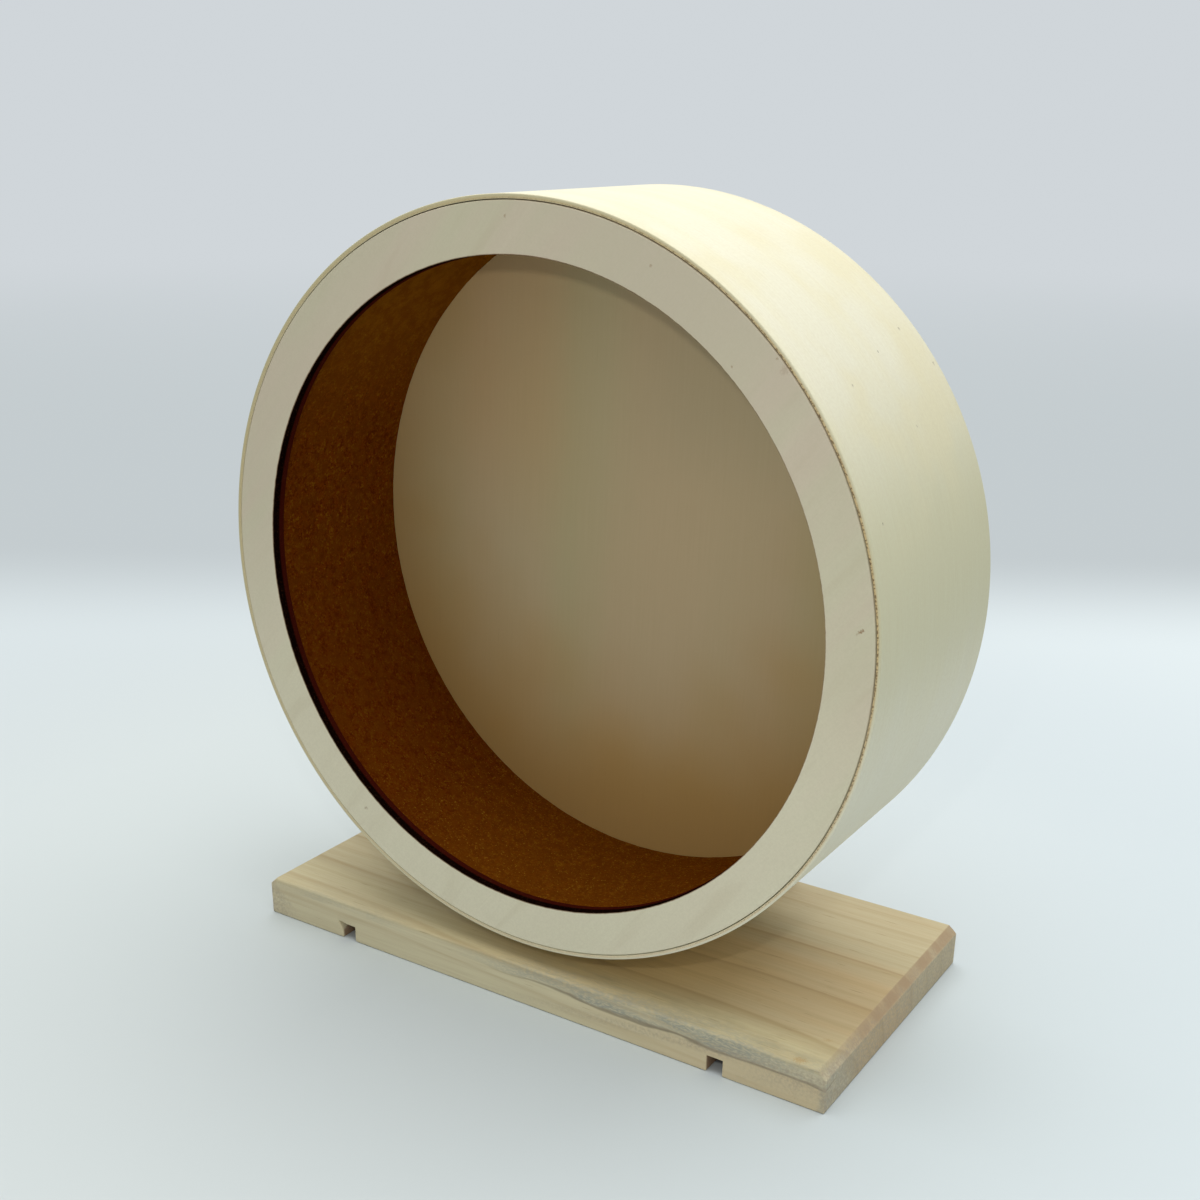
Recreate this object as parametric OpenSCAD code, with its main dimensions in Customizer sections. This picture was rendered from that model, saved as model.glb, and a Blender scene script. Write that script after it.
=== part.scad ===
// Wooden exercise wheel for a rodent: an open drum that turns on two ball bearings in front of an upright.
// Millimetres, +Z up. X runs along the base board, Y runs from the open front of the wheel to the back.
// The origin is the centre of the base board's underside.

/* [Wheel] */
// Outer diameter of the wheel, across the bent band
wheel_od = 290; // [260:2:340]
// Depth of the wheel, from the front ring's face to the band's rear edge
wheel_w = 103; // [80:1:130]
// Thickness of the bent band
band_t = 1.8; // [1.2:0.1:4]
// Thickness of the front ring's plywood
ring_t = 6.5; // [4:0.5:10]
// Radial width of the front ring, from the band to the mouth
ring_lip = 18.2; // [12:0.2:40]
// Bevel round the front ring's outer edge, which shows as the dark line inside the band
ring_bevel = 0.4; // [0.2:0.1:1]
// Thickness of the cork running track
cork_t = 5; // [2:0.5:8]
// Thickness of the facing that closes the back wall inside
facing_t = 4; // [3:0.5:8]
// Thickness of the structural back panel
panel_t = 6.5; // [5:0.5:12]

/* [Base board] */
// Length of the base board
base_len = 278; // [240:2:340]
// Thickness of the base board
base_t = 18; // [14:0.5:26]
// How far the base board reaches in front of the wheel
front_lap = 3; // [0:0.5:30]
// Bevel along the two upper end edges
end_bevel = 3.5; // [1:0.5:6]
// Eased arris along the front and back upper edges
arris = 0.6; // [0.2:0.1:1.5]
// Width of each groove in the underside
groove_w = 7; // [5:0.5:12]
// Depth of each groove in the underside
groove_d = 7; // [4:0.5:10]
// Distance between the two grooves' centre lines
groove_pitch = 185; // [160:1:200]
// Running gap between the wheel and the base board
wheel_gap = 8; // [3:0.5:20]

/* [Upright] */
// Thickness of the upright
upright_t = 12; // [10:0.5:20]
// Width of the upright at its foot
foot_w = 120; // [90:2:130]
// Height of the upright's square foot, below its slanted sides
foot_h = 22; // [10:1:40]
// Radius of the upright's round head
head_r = 38; // [26:1:44]

/* [Hub] */
// Diameter of the hub disc behind the back panel
hub_od = 84; // [72:2:120]
// Thickness of the hub disc
hub_t = 12; // [11:0.5:16]
// Bevel round the hub disc's rear edge
hub_bevel = 1.5; // [0.5:0.5:3]
// Running gap between the hub disc and the upright
hub_gap = 2; // [1:0.5:6]
// Number of hub screws
hub_screw_n = 4; // [3:1:6]
// Diameter of the circle of hub screws
hub_screw_pcd = 56; // [46:1:60]
// Depth that the hub screws bite into the back panel
hub_screw_bite = 3.5; // [2:0.5:4.5]

/* [Bearings] */
// Bore of each ball bearing
bearing_id = 8; // [6:1:8]
// Outer diameter of each ball bearing
bearing_od = 22; // [20:1:26]
// Width of each ball bearing
bearing_w = 7; // [6.5:0.5:7.5]
// Diameter of one ball
ball_d = 3.97; // [3.6:0.01:4]
// Number of balls in one bearing
ball_n = 7; // [6:1:8]
// Distance from the ball circle to the races' inner lands
race_land = 1.45; // [1.2:0.05:1.6]
// Play between a ball and its grooves
ball_play = 0.05; // [0.03:0.01:0.08]
// Radial thickness of the ball cage
cage_t = 1.4; // [1:0.1:1.8]
// Metal left at each side of the cage's pockets
cage_rim = 0.35; // [0.2:0.05:0.5]
// Thickness of each bearing shield
shield_t = 0.4; // [0.3:0.1:0.5]
// Depth of each shield below the bearing's face
shield_set = 0.3; // [0.2:0.1:0.4]
// Height of the step that each shield sits in
shield_step = 0.4; // [0.3:0.1:0.6]
// Gap between a shield and the inner race
shield_gap = 0.3; // [0.2:0.1:0.5]
// Width of the shoulder between the two bearings
shoulder_w = 2; // [1.5:0.5:3]
// Height of the shoulder between the two bearings
shoulder_h = 1.5; // [1:0.1:1.8]

/* [Axle] */
// Diameter of the axle bolt's head
bolt_head_d = 14; // [12:0.5:16]
// Height of the axle bolt's low head
bolt_head_h = 3; // [2.5:0.1:3.4]
// Size across the flats of the socket in the bolt's head
bolt_socket = 5; // [4:0.5:6]
// Depth of the socket in the bolt's head
bolt_socket_h = 1.8; // [1:0.1:2.2]
// How far the bolt stands out of the lock nut
bolt_proud = 4.6; // [0.5:0.1:8]
// Thickness of the washer between the bolt's head and the front bearing
race_washer_t = 0.8; // [0.5:0.1:1.2]
// Outer diameter of the plain washer behind the upright
washer_od = 20; // [16:0.5:26]
// Thickness of the plain washer behind the upright
washer_t = 1.6; // [1:0.1:2.5]
// Size across the flats of the lock nut
nut_af = 13; // [12:0.5:15]
// Height of the lock nut's hexagon
nut_hex_h = 6; // [4:0.5:8]
// Height of the lock nut's round collar
nut_collar_h = 2; // [1.5:0.1:3]
// Wall of the lock nut's collar
nut_collar_wall = 0.8; // [0.6:0.1:1]

/* [Wood screws] */
// Shank diameter of the hub screws
hub_screw_d = 3.5; // [3:0.1:4]
// Head diameter of the hub screws
hub_screw_head_d = 7; // [6:0.1:8]
// Shank diameter of the base screws
base_screw_d = 4.5; // [3.5:0.1:5]
// Head diameter of the base screws
base_screw_head_d = 8.8; // [7.5:0.1:9.5]
// Depth that the base screws bite into the upright
base_screw_bite = 26; // [16:1:40]
// Depth of the base screws' heads below the underside
base_screw_set = 0.6; // [0.3:0.1:1.5]
// Distance between neighbouring base screws
base_screw_pitch = 38; // [24:1:39]
// Length of a screw's point
screw_tip = 3; // [2:0.5:4]
// Width of the slots in a screw's cross recess
recess_w = 1; // [0.8:0.1:1.4]

/* [Fits] */
// Running clearance round the bolt in its bores
bolt_play = 0.03; // [0.02:0.01:0.08]
// Clearance round glued discs and pressed pieces
seat_play = 0.05; // [0.01:0.01:0.08]
// Clearance round the bolt where it passes through wood
drill_play = 0.1; // [0.05:0.05:0.3]
// Clearance round the bolt's head in its pocket
pocket_play = 1; // [0.6:0.1:2]
// Gap left in front of the bolt's head, inside its pocket
pocket_gap = 0.2; // [0.1:0.1:0.5]

/* [Hidden] */
$fn = 96;
// Overshoot of each cut past the face that it opens
cut = 1;

// Radii of the wheel's layers, from the outside in
wheel_r = wheel_od / 2;
drum_r = wheel_r - band_t;
mouth_r = drum_r - ring_lip;
track_r = drum_r - cork_t;

// Base board, and the height of the axle above its underside
base_d = front_lap + wheel_w + hub_t + hub_gap + upright_t;
axle_h = base_t + wheel_gap + wheel_r;

// Places along Y, from the front to the back
base_front = -base_d / 2;
wheel_front = base_front + front_lap;
track_front = wheel_front + ring_t;
panel_back = wheel_front + wheel_w;
panel_front = panel_back - panel_t;
facing_front = panel_front - facing_t;
hub_back = panel_back + hub_t;
rear_bearing_y = hub_back - bearing_w;
front_bearing_y = rear_bearing_y - shoulder_w - bearing_w;
bolt_seat = front_bearing_y - race_washer_t;
bolt_head_y = bolt_seat - bolt_head_h;
pocket_y = bolt_head_y - pocket_gap;
upright_front = hub_back + hub_gap;
upright_back = upright_front + upright_t;
nut_y = upright_back + washer_t;
bolt_end = nut_y + nut_hex_h + nut_collar_h + bolt_proud;

// Bearing
bolt_r = bearing_id / 2 - bolt_play;
pitch_r = (bearing_id + bearing_od) / 4;
ball_r = ball_d / 2;
inner_land_r = pitch_r - race_land;
outer_land_r = pitch_r + race_land;
shield_r = outer_land_r + shield_step;
housing_r = bearing_od / 2 + seat_play;

nut_collar_r = nut_af / 2 - seat_play;

// Holes for the wood screws follow the screws with this much room
screw_room = 0.04;
// Radius of a screw's blunt point
point_r = 0.1;
// Length of a cross recess's slots, as a share of the head's diameter
recess_share = 0.55;

// Places its children on the axle, with their own z pointing to the back and starting at y
module on_axle(y) {
    translate([0, y, axle_h]) rotate([-90, 0, 0]) children();
}

// Ring of rectangular section, standing on z = 0
module ring(outer_r, inner_r, h) {
    difference() {
        cylinder(r = outer_r, h = h);
        translate([0, 0, -cut]) cylinder(r = inner_r, h = h + 2 * cut);
    }
}

// Countersunk wood screw with its head's face on z = 0 and its point up; room widens it into its own hole
module wood_screw(shank_d, screw_head_d, length, room = 0) {
    shank_r = shank_d / 2 + room;
    top_r = screw_head_d / 2 + room;
    cone_h = top_r - shank_r;
    cylinder(r1 = top_r, r2 = shank_r, h = cone_h);
    cylinder(r = shank_r, h = length - screw_tip);
    translate([0, 0, length - screw_tip]) cylinder(r1 = shank_r, r2 = point_r + room, h = screw_tip);
}

// Cross-shaped recess in a screw's head
module cross_recess(screw_head_d) {
    arm = screw_head_d * recess_share;
    for (turn = [0, 90])
        rotate(turn) translate([-arm / 2, -recess_w / 2, -cut]) cube([arm, recess_w, cut + recess_w]);
}

// Places its children at each hub screw, pointing forward from the hub disc's rear face
module at_hub_screws() {
    for (i = [0 : hub_screw_n - 1])
        on_axle(hub_back)
            rotate(45 + i * 360 / hub_screw_n)
                translate([hub_screw_pcd / 2, 0, 0])
                    rotate([180, 0, 0]) children();
}

// Places its children at each base screw, pointing up from the board's underside
module at_base_screws() {
    for (i = [-1 : 1])
        translate([i * base_screw_pitch, upright_front + upright_t / 2, base_screw_set]) children();
}

module rim_band() {
    color("cornsilk") on_axle(wheel_front) ring(wheel_r, drum_r, wheel_w);
}

// Flat plywood ring inside the band, bevelled round its front edge
module front_ring() {
    fitted_r = drum_r - seat_play;
    color("wheat") on_axle(wheel_front)
        rotate_extrude()
            polygon([
                [mouth_r, 0], [fitted_r - ring_bevel, 0], [fitted_r, ring_bevel],
                [fitted_r, ring_t], [mouth_r, ring_t]
            ]);
}

module cork_track() {
    color("saddlebrown") on_axle(track_front)
        ring(drum_r - seat_play, track_r, facing_front - track_front);
}

// Plain disc that closes the back wall inside; a pocket behind it clears the bolt's head
module inner_facing() {
    color("tan") difference() {
        on_axle(facing_front) cylinder(r = drum_r - seat_play, h = facing_t);
        on_axle(pocket_y) cylinder(r = bolt_head_d / 2 + pocket_play, h = panel_back - pocket_y);
    }
}

module rear_panel() {
    color("burlywood") difference() {
        on_axle(panel_front) cylinder(r = drum_r - seat_play, h = panel_t);
        on_axle(panel_front - cut) cylinder(r = housing_r, h = panel_t + 2 * cut);
        hub_screw_holes();
    }
}

module hub_screw_holes() {
    at_hub_screws() wood_screw(hub_screw_d, hub_screw_head_d, hub_t + hub_screw_bite, screw_room);
}

// Disc behind the panel, with a bearing seat from each side and a shoulder between the seats
module hub_disc() {
    hub_r = hub_od / 2;
    color("burlywood") difference() {
        on_axle(panel_back)
            rotate_extrude()
                polygon([
                    [0, 0], [hub_r, 0], [hub_r, hub_t - hub_bevel], [hub_r - hub_bevel, hub_t], [0, hub_t]
                ]);
        bearing_seats();
        hub_screw_holes();
    }
}

module bearing_seats() {
    on_axle(panel_back - cut) cylinder(r = housing_r, h = front_bearing_y + bearing_w - panel_back + cut);
    on_axle(panel_back - cut) cylinder(r = housing_r - shoulder_h, h = hub_t + 2 * cut);
    on_axle(rear_bearing_y) cylinder(r = housing_r, h = bearing_w + cut);
}

module hub_screws() {
    color("silver") at_hub_screws() difference() {
        wood_screw(hub_screw_d, hub_screw_head_d, hub_t + hub_screw_bite);
        cross_recess(hub_screw_head_d);
    }
}

// Circular groove that the balls run in, at the middle of a bearing
module ball_groove() {
    translate([0, 0, bearing_w / 2])
        rotate_extrude() translate([pitch_r, 0]) circle(r = ball_r + ball_play);
}

module outer_race(y) {
    seat_depth = shield_set + shield_t;
    color("silver") on_axle(y) difference() {
        ring(bearing_od / 2, outer_land_r, bearing_w);
        ball_groove();
        translate([0, 0, -cut]) cylinder(r = shield_r, h = cut + seat_depth);
        translate([0, 0, bearing_w - seat_depth]) cylinder(r = shield_r, h = cut + seat_depth);
    }
}

module inner_race(y) {
    color("silver") on_axle(y) difference() {
        ring(inner_land_r, bearing_id / 2, bearing_w);
        ball_groove();
    }
}

// The two thin shields of one bearing, held in the outer race
module shields(y) {
    for (z = [shield_set, bearing_w - shield_set - shield_t])
        color("gainsboro") on_axle(y + z) ring(shield_r, inner_land_r + shield_gap, shield_t);
}

// Places its children at each ball of the bearing that starts at y, with their own x pointing outwards
module at_balls(y) {
    for (i = [0 : ball_n - 1])
        on_axle(y + bearing_w / 2) rotate(i * 360 / ball_n) translate([pitch_r, 0, 0]) children();
}

module balls(y) {
    color("lightsteelblue") at_balls(y) sphere(r = ball_r);
}

// Ring between the races, with a round pocket through it for each ball
module cage(y) {
    pocket_r = ball_r + ball_play;
    half_w = pocket_r + cage_rim;
    color("goldenrod") difference() {
        on_axle(y + bearing_w / 2 - half_w) ring(pitch_r + cage_t / 2, pitch_r - cage_t / 2, 2 * half_w);
        at_balls(y) rotate([0, 90, 0]) cylinder(r = pocket_r, h = cage_t + 2 * cut, center = true);
    }
}

module front_outer_race() {
    outer_race(front_bearing_y);
}

module rear_outer_race() {
    outer_race(rear_bearing_y);
}

module front_shields() {
    shields(front_bearing_y);
}

module rear_shields() {
    shields(rear_bearing_y);
}

module front_balls() {
    balls(front_bearing_y);
}

module front_cage() {
    cage(front_bearing_y);
}

module rear_balls() {
    balls(rear_bearing_y);
}

module rear_cage() {
    cage(rear_bearing_y);
}

module front_inner_race() {
    inner_race(front_bearing_y);
}

module rear_inner_race() {
    inner_race(rear_bearing_y);
}

// Board with bevelled upper ends, eased long edges and two grooves from front to back underneath
module base_board() {
    half = base_len / 2;
    color("peru") difference() {
        intersection() {
            translate([0, base_d / 2, 0]) rotate([90, 0, 0]) linear_extrude(base_d)
                polygon([
                    [-half, 0], [half, 0], [half, base_t - end_bevel], [half - end_bevel, base_t],
                    [-half + end_bevel, base_t], [-half, base_t - end_bevel]
                ]);
            translate([-half, 0, 0]) rotate([90, 0, 90]) linear_extrude(base_len)
                polygon([
                    [-base_d / 2, 0], [base_d / 2, 0], [base_d / 2, base_t - arris],
                    [base_d / 2 - arris, base_t], [-base_d / 2 + arris, base_t],
                    [-base_d / 2, base_t - arris]
                ]);
        }
        for (side = [-1, 1])
            translate([side * groove_pitch / 2 - groove_w / 2, -base_d / 2 - cut, -cut])
                cube([groove_w, base_d + 2 * cut, groove_d + cut]);
        base_screw_holes();
    }
}

module base_screw_holes() {
    at_base_screws() {
        wood_screw(base_screw_d, base_screw_head_d, base_screw_length(), screw_room);
        translate([0, 0, -base_screw_set - cut])
            cylinder(r = base_screw_head_d / 2 + screw_room, h = base_screw_set + cut);
    }
}

function base_screw_length() = base_t - base_screw_set + base_screw_bite;

module base_screws() {
    color("silver") at_base_screws() difference() {
        wood_screw(base_screw_d, base_screw_head_d, base_screw_length());
        cross_recess(base_screw_head_d);
    }
}

// Board on edge with a square foot, slanted sides and a round head about the axle
module upright() {
    rise = axle_h - base_t - foot_h;
    reach = sqrt(pow(foot_w / 2, 2) + pow(rise, 2));
    lean = acos(head_r / reach) - atan2(rise, foot_w / 2);
    touch_x = head_r * cos(lean);
    touch_z = axle_h + head_r * sin(lean);
    color("burlywood") difference() {
        translate([0, upright_back, 0]) rotate([90, 0, 0]) linear_extrude(upright_t) {
            polygon([
                [-foot_w / 2, base_t], [foot_w / 2, base_t], [foot_w / 2, base_t + foot_h],
                [touch_x, touch_z], [-touch_x, touch_z], [-foot_w / 2, base_t + foot_h]
            ]);
            translate([0, axle_h]) circle(r = head_r);
        }
        on_axle(upright_front - cut) cylinder(r = bolt_r + drill_play, h = upright_t + 2 * cut);
        base_screw_holes();
    }
}

// Low-headed bolt that carries both bearings and is clamped to the upright
module axle_bolt() {
    color("silver") difference() {
        union() {
            on_axle(bolt_head_y) cylinder(r = bolt_head_d / 2, h = bolt_head_h);
            on_axle(bolt_seat) cylinder(r = bolt_r, h = bolt_end - bolt_seat);
        }
        on_axle(bolt_head_y - cut) cylinder(r = bolt_socket / 2 / cos(30), h = bolt_socket_h + cut, $fn = 6);
    }
}

module race_washer() {
    color("silver") on_axle(bolt_seat) ring(inner_land_r, bearing_id / 2, race_washer_t);
}

module race_tube() {
    color("silver") on_axle(front_bearing_y + bearing_w) ring(inner_land_r, bearing_id / 2, shoulder_w);
}

module hub_spacer() {
    color("silver") on_axle(hub_back) ring(inner_land_r, bearing_id / 2, hub_gap);
}

module tail_washer() {
    color("silver") on_axle(upright_back) ring(washer_od / 2, bearing_id / 2, washer_t);
}

// Hexagon with a round collar behind it that grips the insert
module lock_nut() {
    color("silver") difference() {
        union() {
            on_axle(nut_y) cylinder(r = nut_af / 2 / cos(30), h = nut_hex_h, $fn = 6);
            on_axle(nut_y + nut_hex_h) cylinder(r = nut_collar_r, h = nut_collar_h);
        }
        on_axle(nut_y - cut) cylinder(r = bearing_id / 2, h = nut_hex_h + nut_collar_h + 2 * cut);
        on_axle(nut_y + nut_hex_h) cylinder(r = nut_collar_r - nut_collar_wall, h = nut_collar_h + cut);
    }
}

module lock_insert() {
    color("royalblue") on_axle(nut_y + nut_hex_h)
        ring(nut_collar_r - nut_collar_wall, bearing_id / 2, nut_collar_h - seat_play);
}

rim_band();
front_ring();
cork_track();
inner_facing();
rear_panel();
hub_disc();
hub_screws();
front_outer_race();
rear_outer_race();
front_shields();
rear_shields();
front_balls();
front_cage();
rear_balls();
rear_cage();
base_board();
upright();
base_screws();
axle_bolt();
race_washer();
front_inner_race();
race_tube();
rear_inner_race();
hub_spacer();
tail_washer();
lock_nut();
lock_insert();
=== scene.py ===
"""Finish of a rodent exercise wheel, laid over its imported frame.

Lengths are in metres. +Z is up, X runs along the base board, and Y runs from the wheel's open front to its
back.
"""

import math

import bmesh
import bpy
import numpy as np
from bpy.props import FloatProperty, FloatVectorProperty, IntProperty, PointerProperty
from bpy.types import Operator, Panel, PropertyGroup
from mathutils import Matrix, Vector


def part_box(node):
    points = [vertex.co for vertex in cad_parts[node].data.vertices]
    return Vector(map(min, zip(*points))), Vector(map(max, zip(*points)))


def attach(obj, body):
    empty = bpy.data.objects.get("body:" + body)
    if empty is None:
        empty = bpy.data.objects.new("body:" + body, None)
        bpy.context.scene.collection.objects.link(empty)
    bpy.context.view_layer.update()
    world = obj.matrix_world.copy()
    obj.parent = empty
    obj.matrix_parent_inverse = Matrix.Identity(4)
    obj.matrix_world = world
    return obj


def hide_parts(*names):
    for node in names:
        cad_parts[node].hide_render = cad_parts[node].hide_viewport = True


bl_info = {
    "name": "Wooden Exercise Wheel",
    "version": (1, 0, 0),
    "blender": (4, 5, 0),
    "location": "3D View > Sidebar > Exercise Wheel",
    "description": "Dresses the wooden exercise wheel in veneer, cork, pine and steel",
    "category": "Object",
}

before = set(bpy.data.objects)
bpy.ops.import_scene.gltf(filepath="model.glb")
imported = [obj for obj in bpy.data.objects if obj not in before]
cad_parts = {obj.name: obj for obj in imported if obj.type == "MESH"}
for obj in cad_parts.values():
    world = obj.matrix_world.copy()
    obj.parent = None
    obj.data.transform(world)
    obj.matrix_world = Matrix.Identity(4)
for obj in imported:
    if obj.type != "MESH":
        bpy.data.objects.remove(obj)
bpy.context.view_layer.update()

MM = 0.001
FULL_TURN = 2 * math.pi


# Places taken from the frame

def node_points(name):
    """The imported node's vertices as an array of points."""
    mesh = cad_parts[name].data
    points = np.empty(len(mesh.vertices) * 3, np.float32)
    mesh.vertices.foreach_get("co", points)
    return points.reshape(-1, 3).astype(float)


AXLE_HEIGHT = sum(corner.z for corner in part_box("rim_band")) / 2


def radii(name):
    """Smallest and largest distance of the node's vertices from the axle."""
    points = node_points(name)
    reach = np.hypot(points[:, 0], points[:, 2] - AXLE_HEIGHT)
    return float(reach.min()), float(reach.max())


def depths(name):
    """The node's front and back along the axle."""
    low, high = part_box(name)
    return low.y, high.y


# Settings

def length_setting(name, description, millimetres):
    """Length property with its default given in millimetres."""
    return FloatProperty(name=name, description=description, default=millimetres * MM, unit="LENGTH")


def colour_setting(name, description, default):
    """Colour property with its default in linear light."""
    return FloatVectorProperty(
        name=name, description=description, default=default, subtype="COLOR", size=3, min=0, max=1
    )


class WheelSizes(PropertyGroup):
    """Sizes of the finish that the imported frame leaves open."""

    turn_steps: IntProperty(
        name="Turn Steps",
        description="Number of columns round each large turned piece",
        default=720,
        min=96,
    )
    band_round: length_setting("Band Round", "Radius of the bent band's sanded edges", 0.45)
    band_wave: length_setting("Band Wave", "How far the bent band's surface wanders", 0.16)
    ring_round: length_setting("Ring Round", "Radius of the front ring's cut edges", 0.3)
    ring_gap_width: length_setting("Ring Gap Width", "Width of the dark joint inside the band", 0.42)
    ring_gap_depth: length_setting("Ring Gap Depth", "Depth of the dark joint inside the band", 1.6)
    cork_lump: length_setting("Cork Lump", "Height of the granules on the running track", 0.16)
    cork_granule: length_setting("Cork Granule", "Size of one cork granule", 1.0)
    board_round: length_setting("Board Round", "Radius of the base board's long upper edges", 1.3)
    board_foot_round: length_setting("Board Foot Round", "Radius of the board's lower edges", 0.4)
    torn_corner: length_setting("Torn Corner", "Reach of the torn wood at the left groove's front end", 2.6)
    plate_round: length_setting("Plate Round", "Radius of the upright's and back panel's edges", 0.35)
    ply: length_setting("Ply", "Thickness of one veneer layer in the plywood", 1.3)
    thread_pitch: length_setting("Thread Pitch", "Pitch of the axle bolt's thread", 1.25)
    thread_depth: length_setting("Thread Depth", "Depth of the axle bolt's thread", 0.55)


class WheelColours(PropertyGroup):
    """Colours of the finish, in linear light."""

    band: colour_setting("Band", "Bent veneer band", (0.765, 0.735, 0.575))
    band_warm: colour_setting("Band Warm", "Warmer streaks of the bent band", (0.76, 0.72, 0.53))
    ring_pink: colour_setting("Ring Pink", "Pinkish bands of the front ring", (0.62, 0.535, 0.405))
    ring_green: colour_setting("Ring Green", "Greenish bands of the front ring", (0.595, 0.553, 0.395))
    # Painted light: the front ring's lower part is paled as if lit from the board and floor
    ring_painted_light_low: colour_setting("Ring Pale", "Paler veneer low on the front ring", (0.75, 0.705, 0.525))
    facing_pink: colour_setting("Facing Pink", "Warm streaks of the inner facing", (0.61, 0.468, 0.268))
    facing_green: colour_setting("Facing Green", "Cool streaks of the inner facing", (0.56, 0.476, 0.26))
    # Painted shade and reddish light reflected from the cork, at the facing's border
    facing_cork_light_and_shade: colour_setting("Facing Warm", "Honey tone of the facing near the cork", (0.545, 0.34, 0.111))
    plywood: colour_setting("Plywood", "Faces of the back panel, hub disc and upright", (0.70, 0.61, 0.42))
    plywood_dark: colour_setting("Plywood Dark", "Darker streaks of the plywood", (0.60, 0.49, 0.31))
    scorch: colour_setting("Scorch", "Laser-cut edges of the plywood", (0.005, 0.0015, 0.001))
    pine: colour_setting("Pine", "Early wood of the base board", (0.545, 0.465, 0.285))
    pine_warm: colour_setting("Pine Warm", "Pinkish early wood of the base board", (0.575, 0.43, 0.235))
    pine_pale: colour_setting("Pine Pale", "Sapwood along the board's front edge", (0.66, 0.59, 0.385))
    pine_late: colour_setting("Pine Late", "Late wood lines of the base board", (0.36, 0.235, 0.10))
    blue_stain: colour_setting("Blue Stain", "Grey-blue stain in the board's front edge", (0.31, 0.315, 0.26))
    cork: colour_setting("Cork", "Most of the cork granules", (0.20, 0.044, 0.002))
    # Also used for the cork's painted shade below the axle
    cork_dark: colour_setting("Cork Dark", "Darkest cork granules", (0.115, 0.022, 0.001))
    # Also used for the cork's painted light at its top and bottom
    cork_gold: colour_setting("Cork Gold", "Golden cork granules", (0.25, 0.092, 0.005))
    steel: colour_setting("Steel", "Bearing steel", (0.62, 0.62, 0.63))
    zinc: colour_setting("Zinc", "Plated bolt, nut, washers and screws", (0.66, 0.67, 0.68))
    nylon: colour_setting("Nylon", "Lock nut's insert", (0.02, 0.09, 0.42))
    floor: colour_setting("Floor", "Studio floor", (0.61, 0.655, 0.65))
    # Painted light: the floor's brighter right side and the bright floor's right side get their own colours
    floor_painted_light_right: colour_setting("Floor Right", "Studio floor on the brighter side", (0.60, 0.66, 0.68))
    bright: colour_setting("Bright", "Bright part of the floor behind the wheel", (0.72, 0.79, 0.81))
    bright_painted_light_right: colour_setting("Bright Right", "Bright floor on its brighter side", (0.81, 0.89, 0.91))
    backdrop: colour_setting("Backdrop", "Foot of the backdrop", (0.555, 0.605, 0.625))
    backdrop_top: colour_setting("Backdrop Top", "Upper part of the backdrop", (0.63, 0.67, 0.70))


def sizes():
    """The scene's finish sizes."""
    return bpy.context.scene.exercise_wheel_sizes


def colours():
    """The scene's finish colours."""
    return bpy.context.scene.exercise_wheel_colours


# Outlines and surfaces

def unit(vectors):
    """Each row scaled to a length of 1."""
    return vectors / np.linalg.norm(vectors, axis=-1, keepdims=True)


def rounded(corners, rounds, steps=5):
    """Closed outline with each corner turned into an arc.

    An arc of radius r starts and ends r / tan(half the corner's angle) from the corner, and its centre lies
    r / sin(half the angle) from it on the bisector. Points on the arc turn evenly from one end to the other.
    """
    corners = np.asarray(corners, float)
    rounds = np.broadcast_to(np.asarray(rounds, float), len(corners))
    back = unit(np.roll(corners, 1, 0) - corners)
    on = unit(np.roll(corners, -1, 0) - corners)
    half = np.arccos(np.clip((back * on).sum(1), -1, 1)) / 2
    centre = corners + unit(back + on) * (rounds / np.sin(half))[:, None]
    reach = (rounds / np.tan(half))[:, None]
    start = corners + back * reach - centre
    end = corners + on * reach - centre
    share = np.linspace(0, 1, steps + 1)[None, :, None]
    turn = (np.pi - 2 * half)[:, None, None]
    arc = (np.sin((1 - share) * turn) * start[:, None] + np.sin(share * turn) * end[:, None]) / np.sin(turn)
    return (centre[:, None] + arc).reshape(-1, 2)


def refining(outline, step, hold):
    """For each point of a finer outline, the side it lies on and its share of that side.

    Long sides get a point `hold` from each end, and no two points are further than `step` apart.
    """
    length = np.linalg.norm(np.roll(outline, -1, 0) - outline, axis=1)
    held = np.where(length > 3 * hold, hold / np.maximum(length, hold), 0)
    inner = np.where(length > 3 * hold, length - 2 * hold, length)
    count = np.maximum(1, np.ceil(inner / step)).astype(int)
    total = count + 2 * (held > 0)
    owner = np.repeat(np.arange(len(outline)), total)
    place_on_side = np.arange(total.sum()) - np.repeat(np.cumsum(total) - total, total)
    start, parts = held[owner], count[owner]
    share = np.where(start > 0, start + (place_on_side - 1) / parts * (1 - 2 * start), place_on_side / parts)
    return owner, np.where(place_on_side == 0, 0, share)


def refined(outline, step, hold):
    """Closed outline with more points along its long sides."""
    owner, share = refining(outline, step, hold)
    return outline[owner] + (np.roll(outline, -1, 0) - outline)[owner] * share[:, None]


def inward(outline):
    """Unit vectors square to a closed outline, pointing to its inside."""
    along = np.roll(outline, -1, 0) - np.roll(outline, 1, 0)
    square = unit(np.stack([-along[:, 1], along[:, 0]], 1))
    following = np.roll(outline, -1, 0)
    area = (outline[:, 0] * following[:, 1] - outline[:, 1] * following[:, 0]).sum()
    return square * np.sign(area)


def nearness(points, corners, width):
    """1 on the given corners, falling off as exp(-distance / width)."""
    gap = np.linalg.norm(points[:, None] - np.asarray(corners, float)[None], axis=2).min(1)
    return np.exp(-gap / width)


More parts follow.
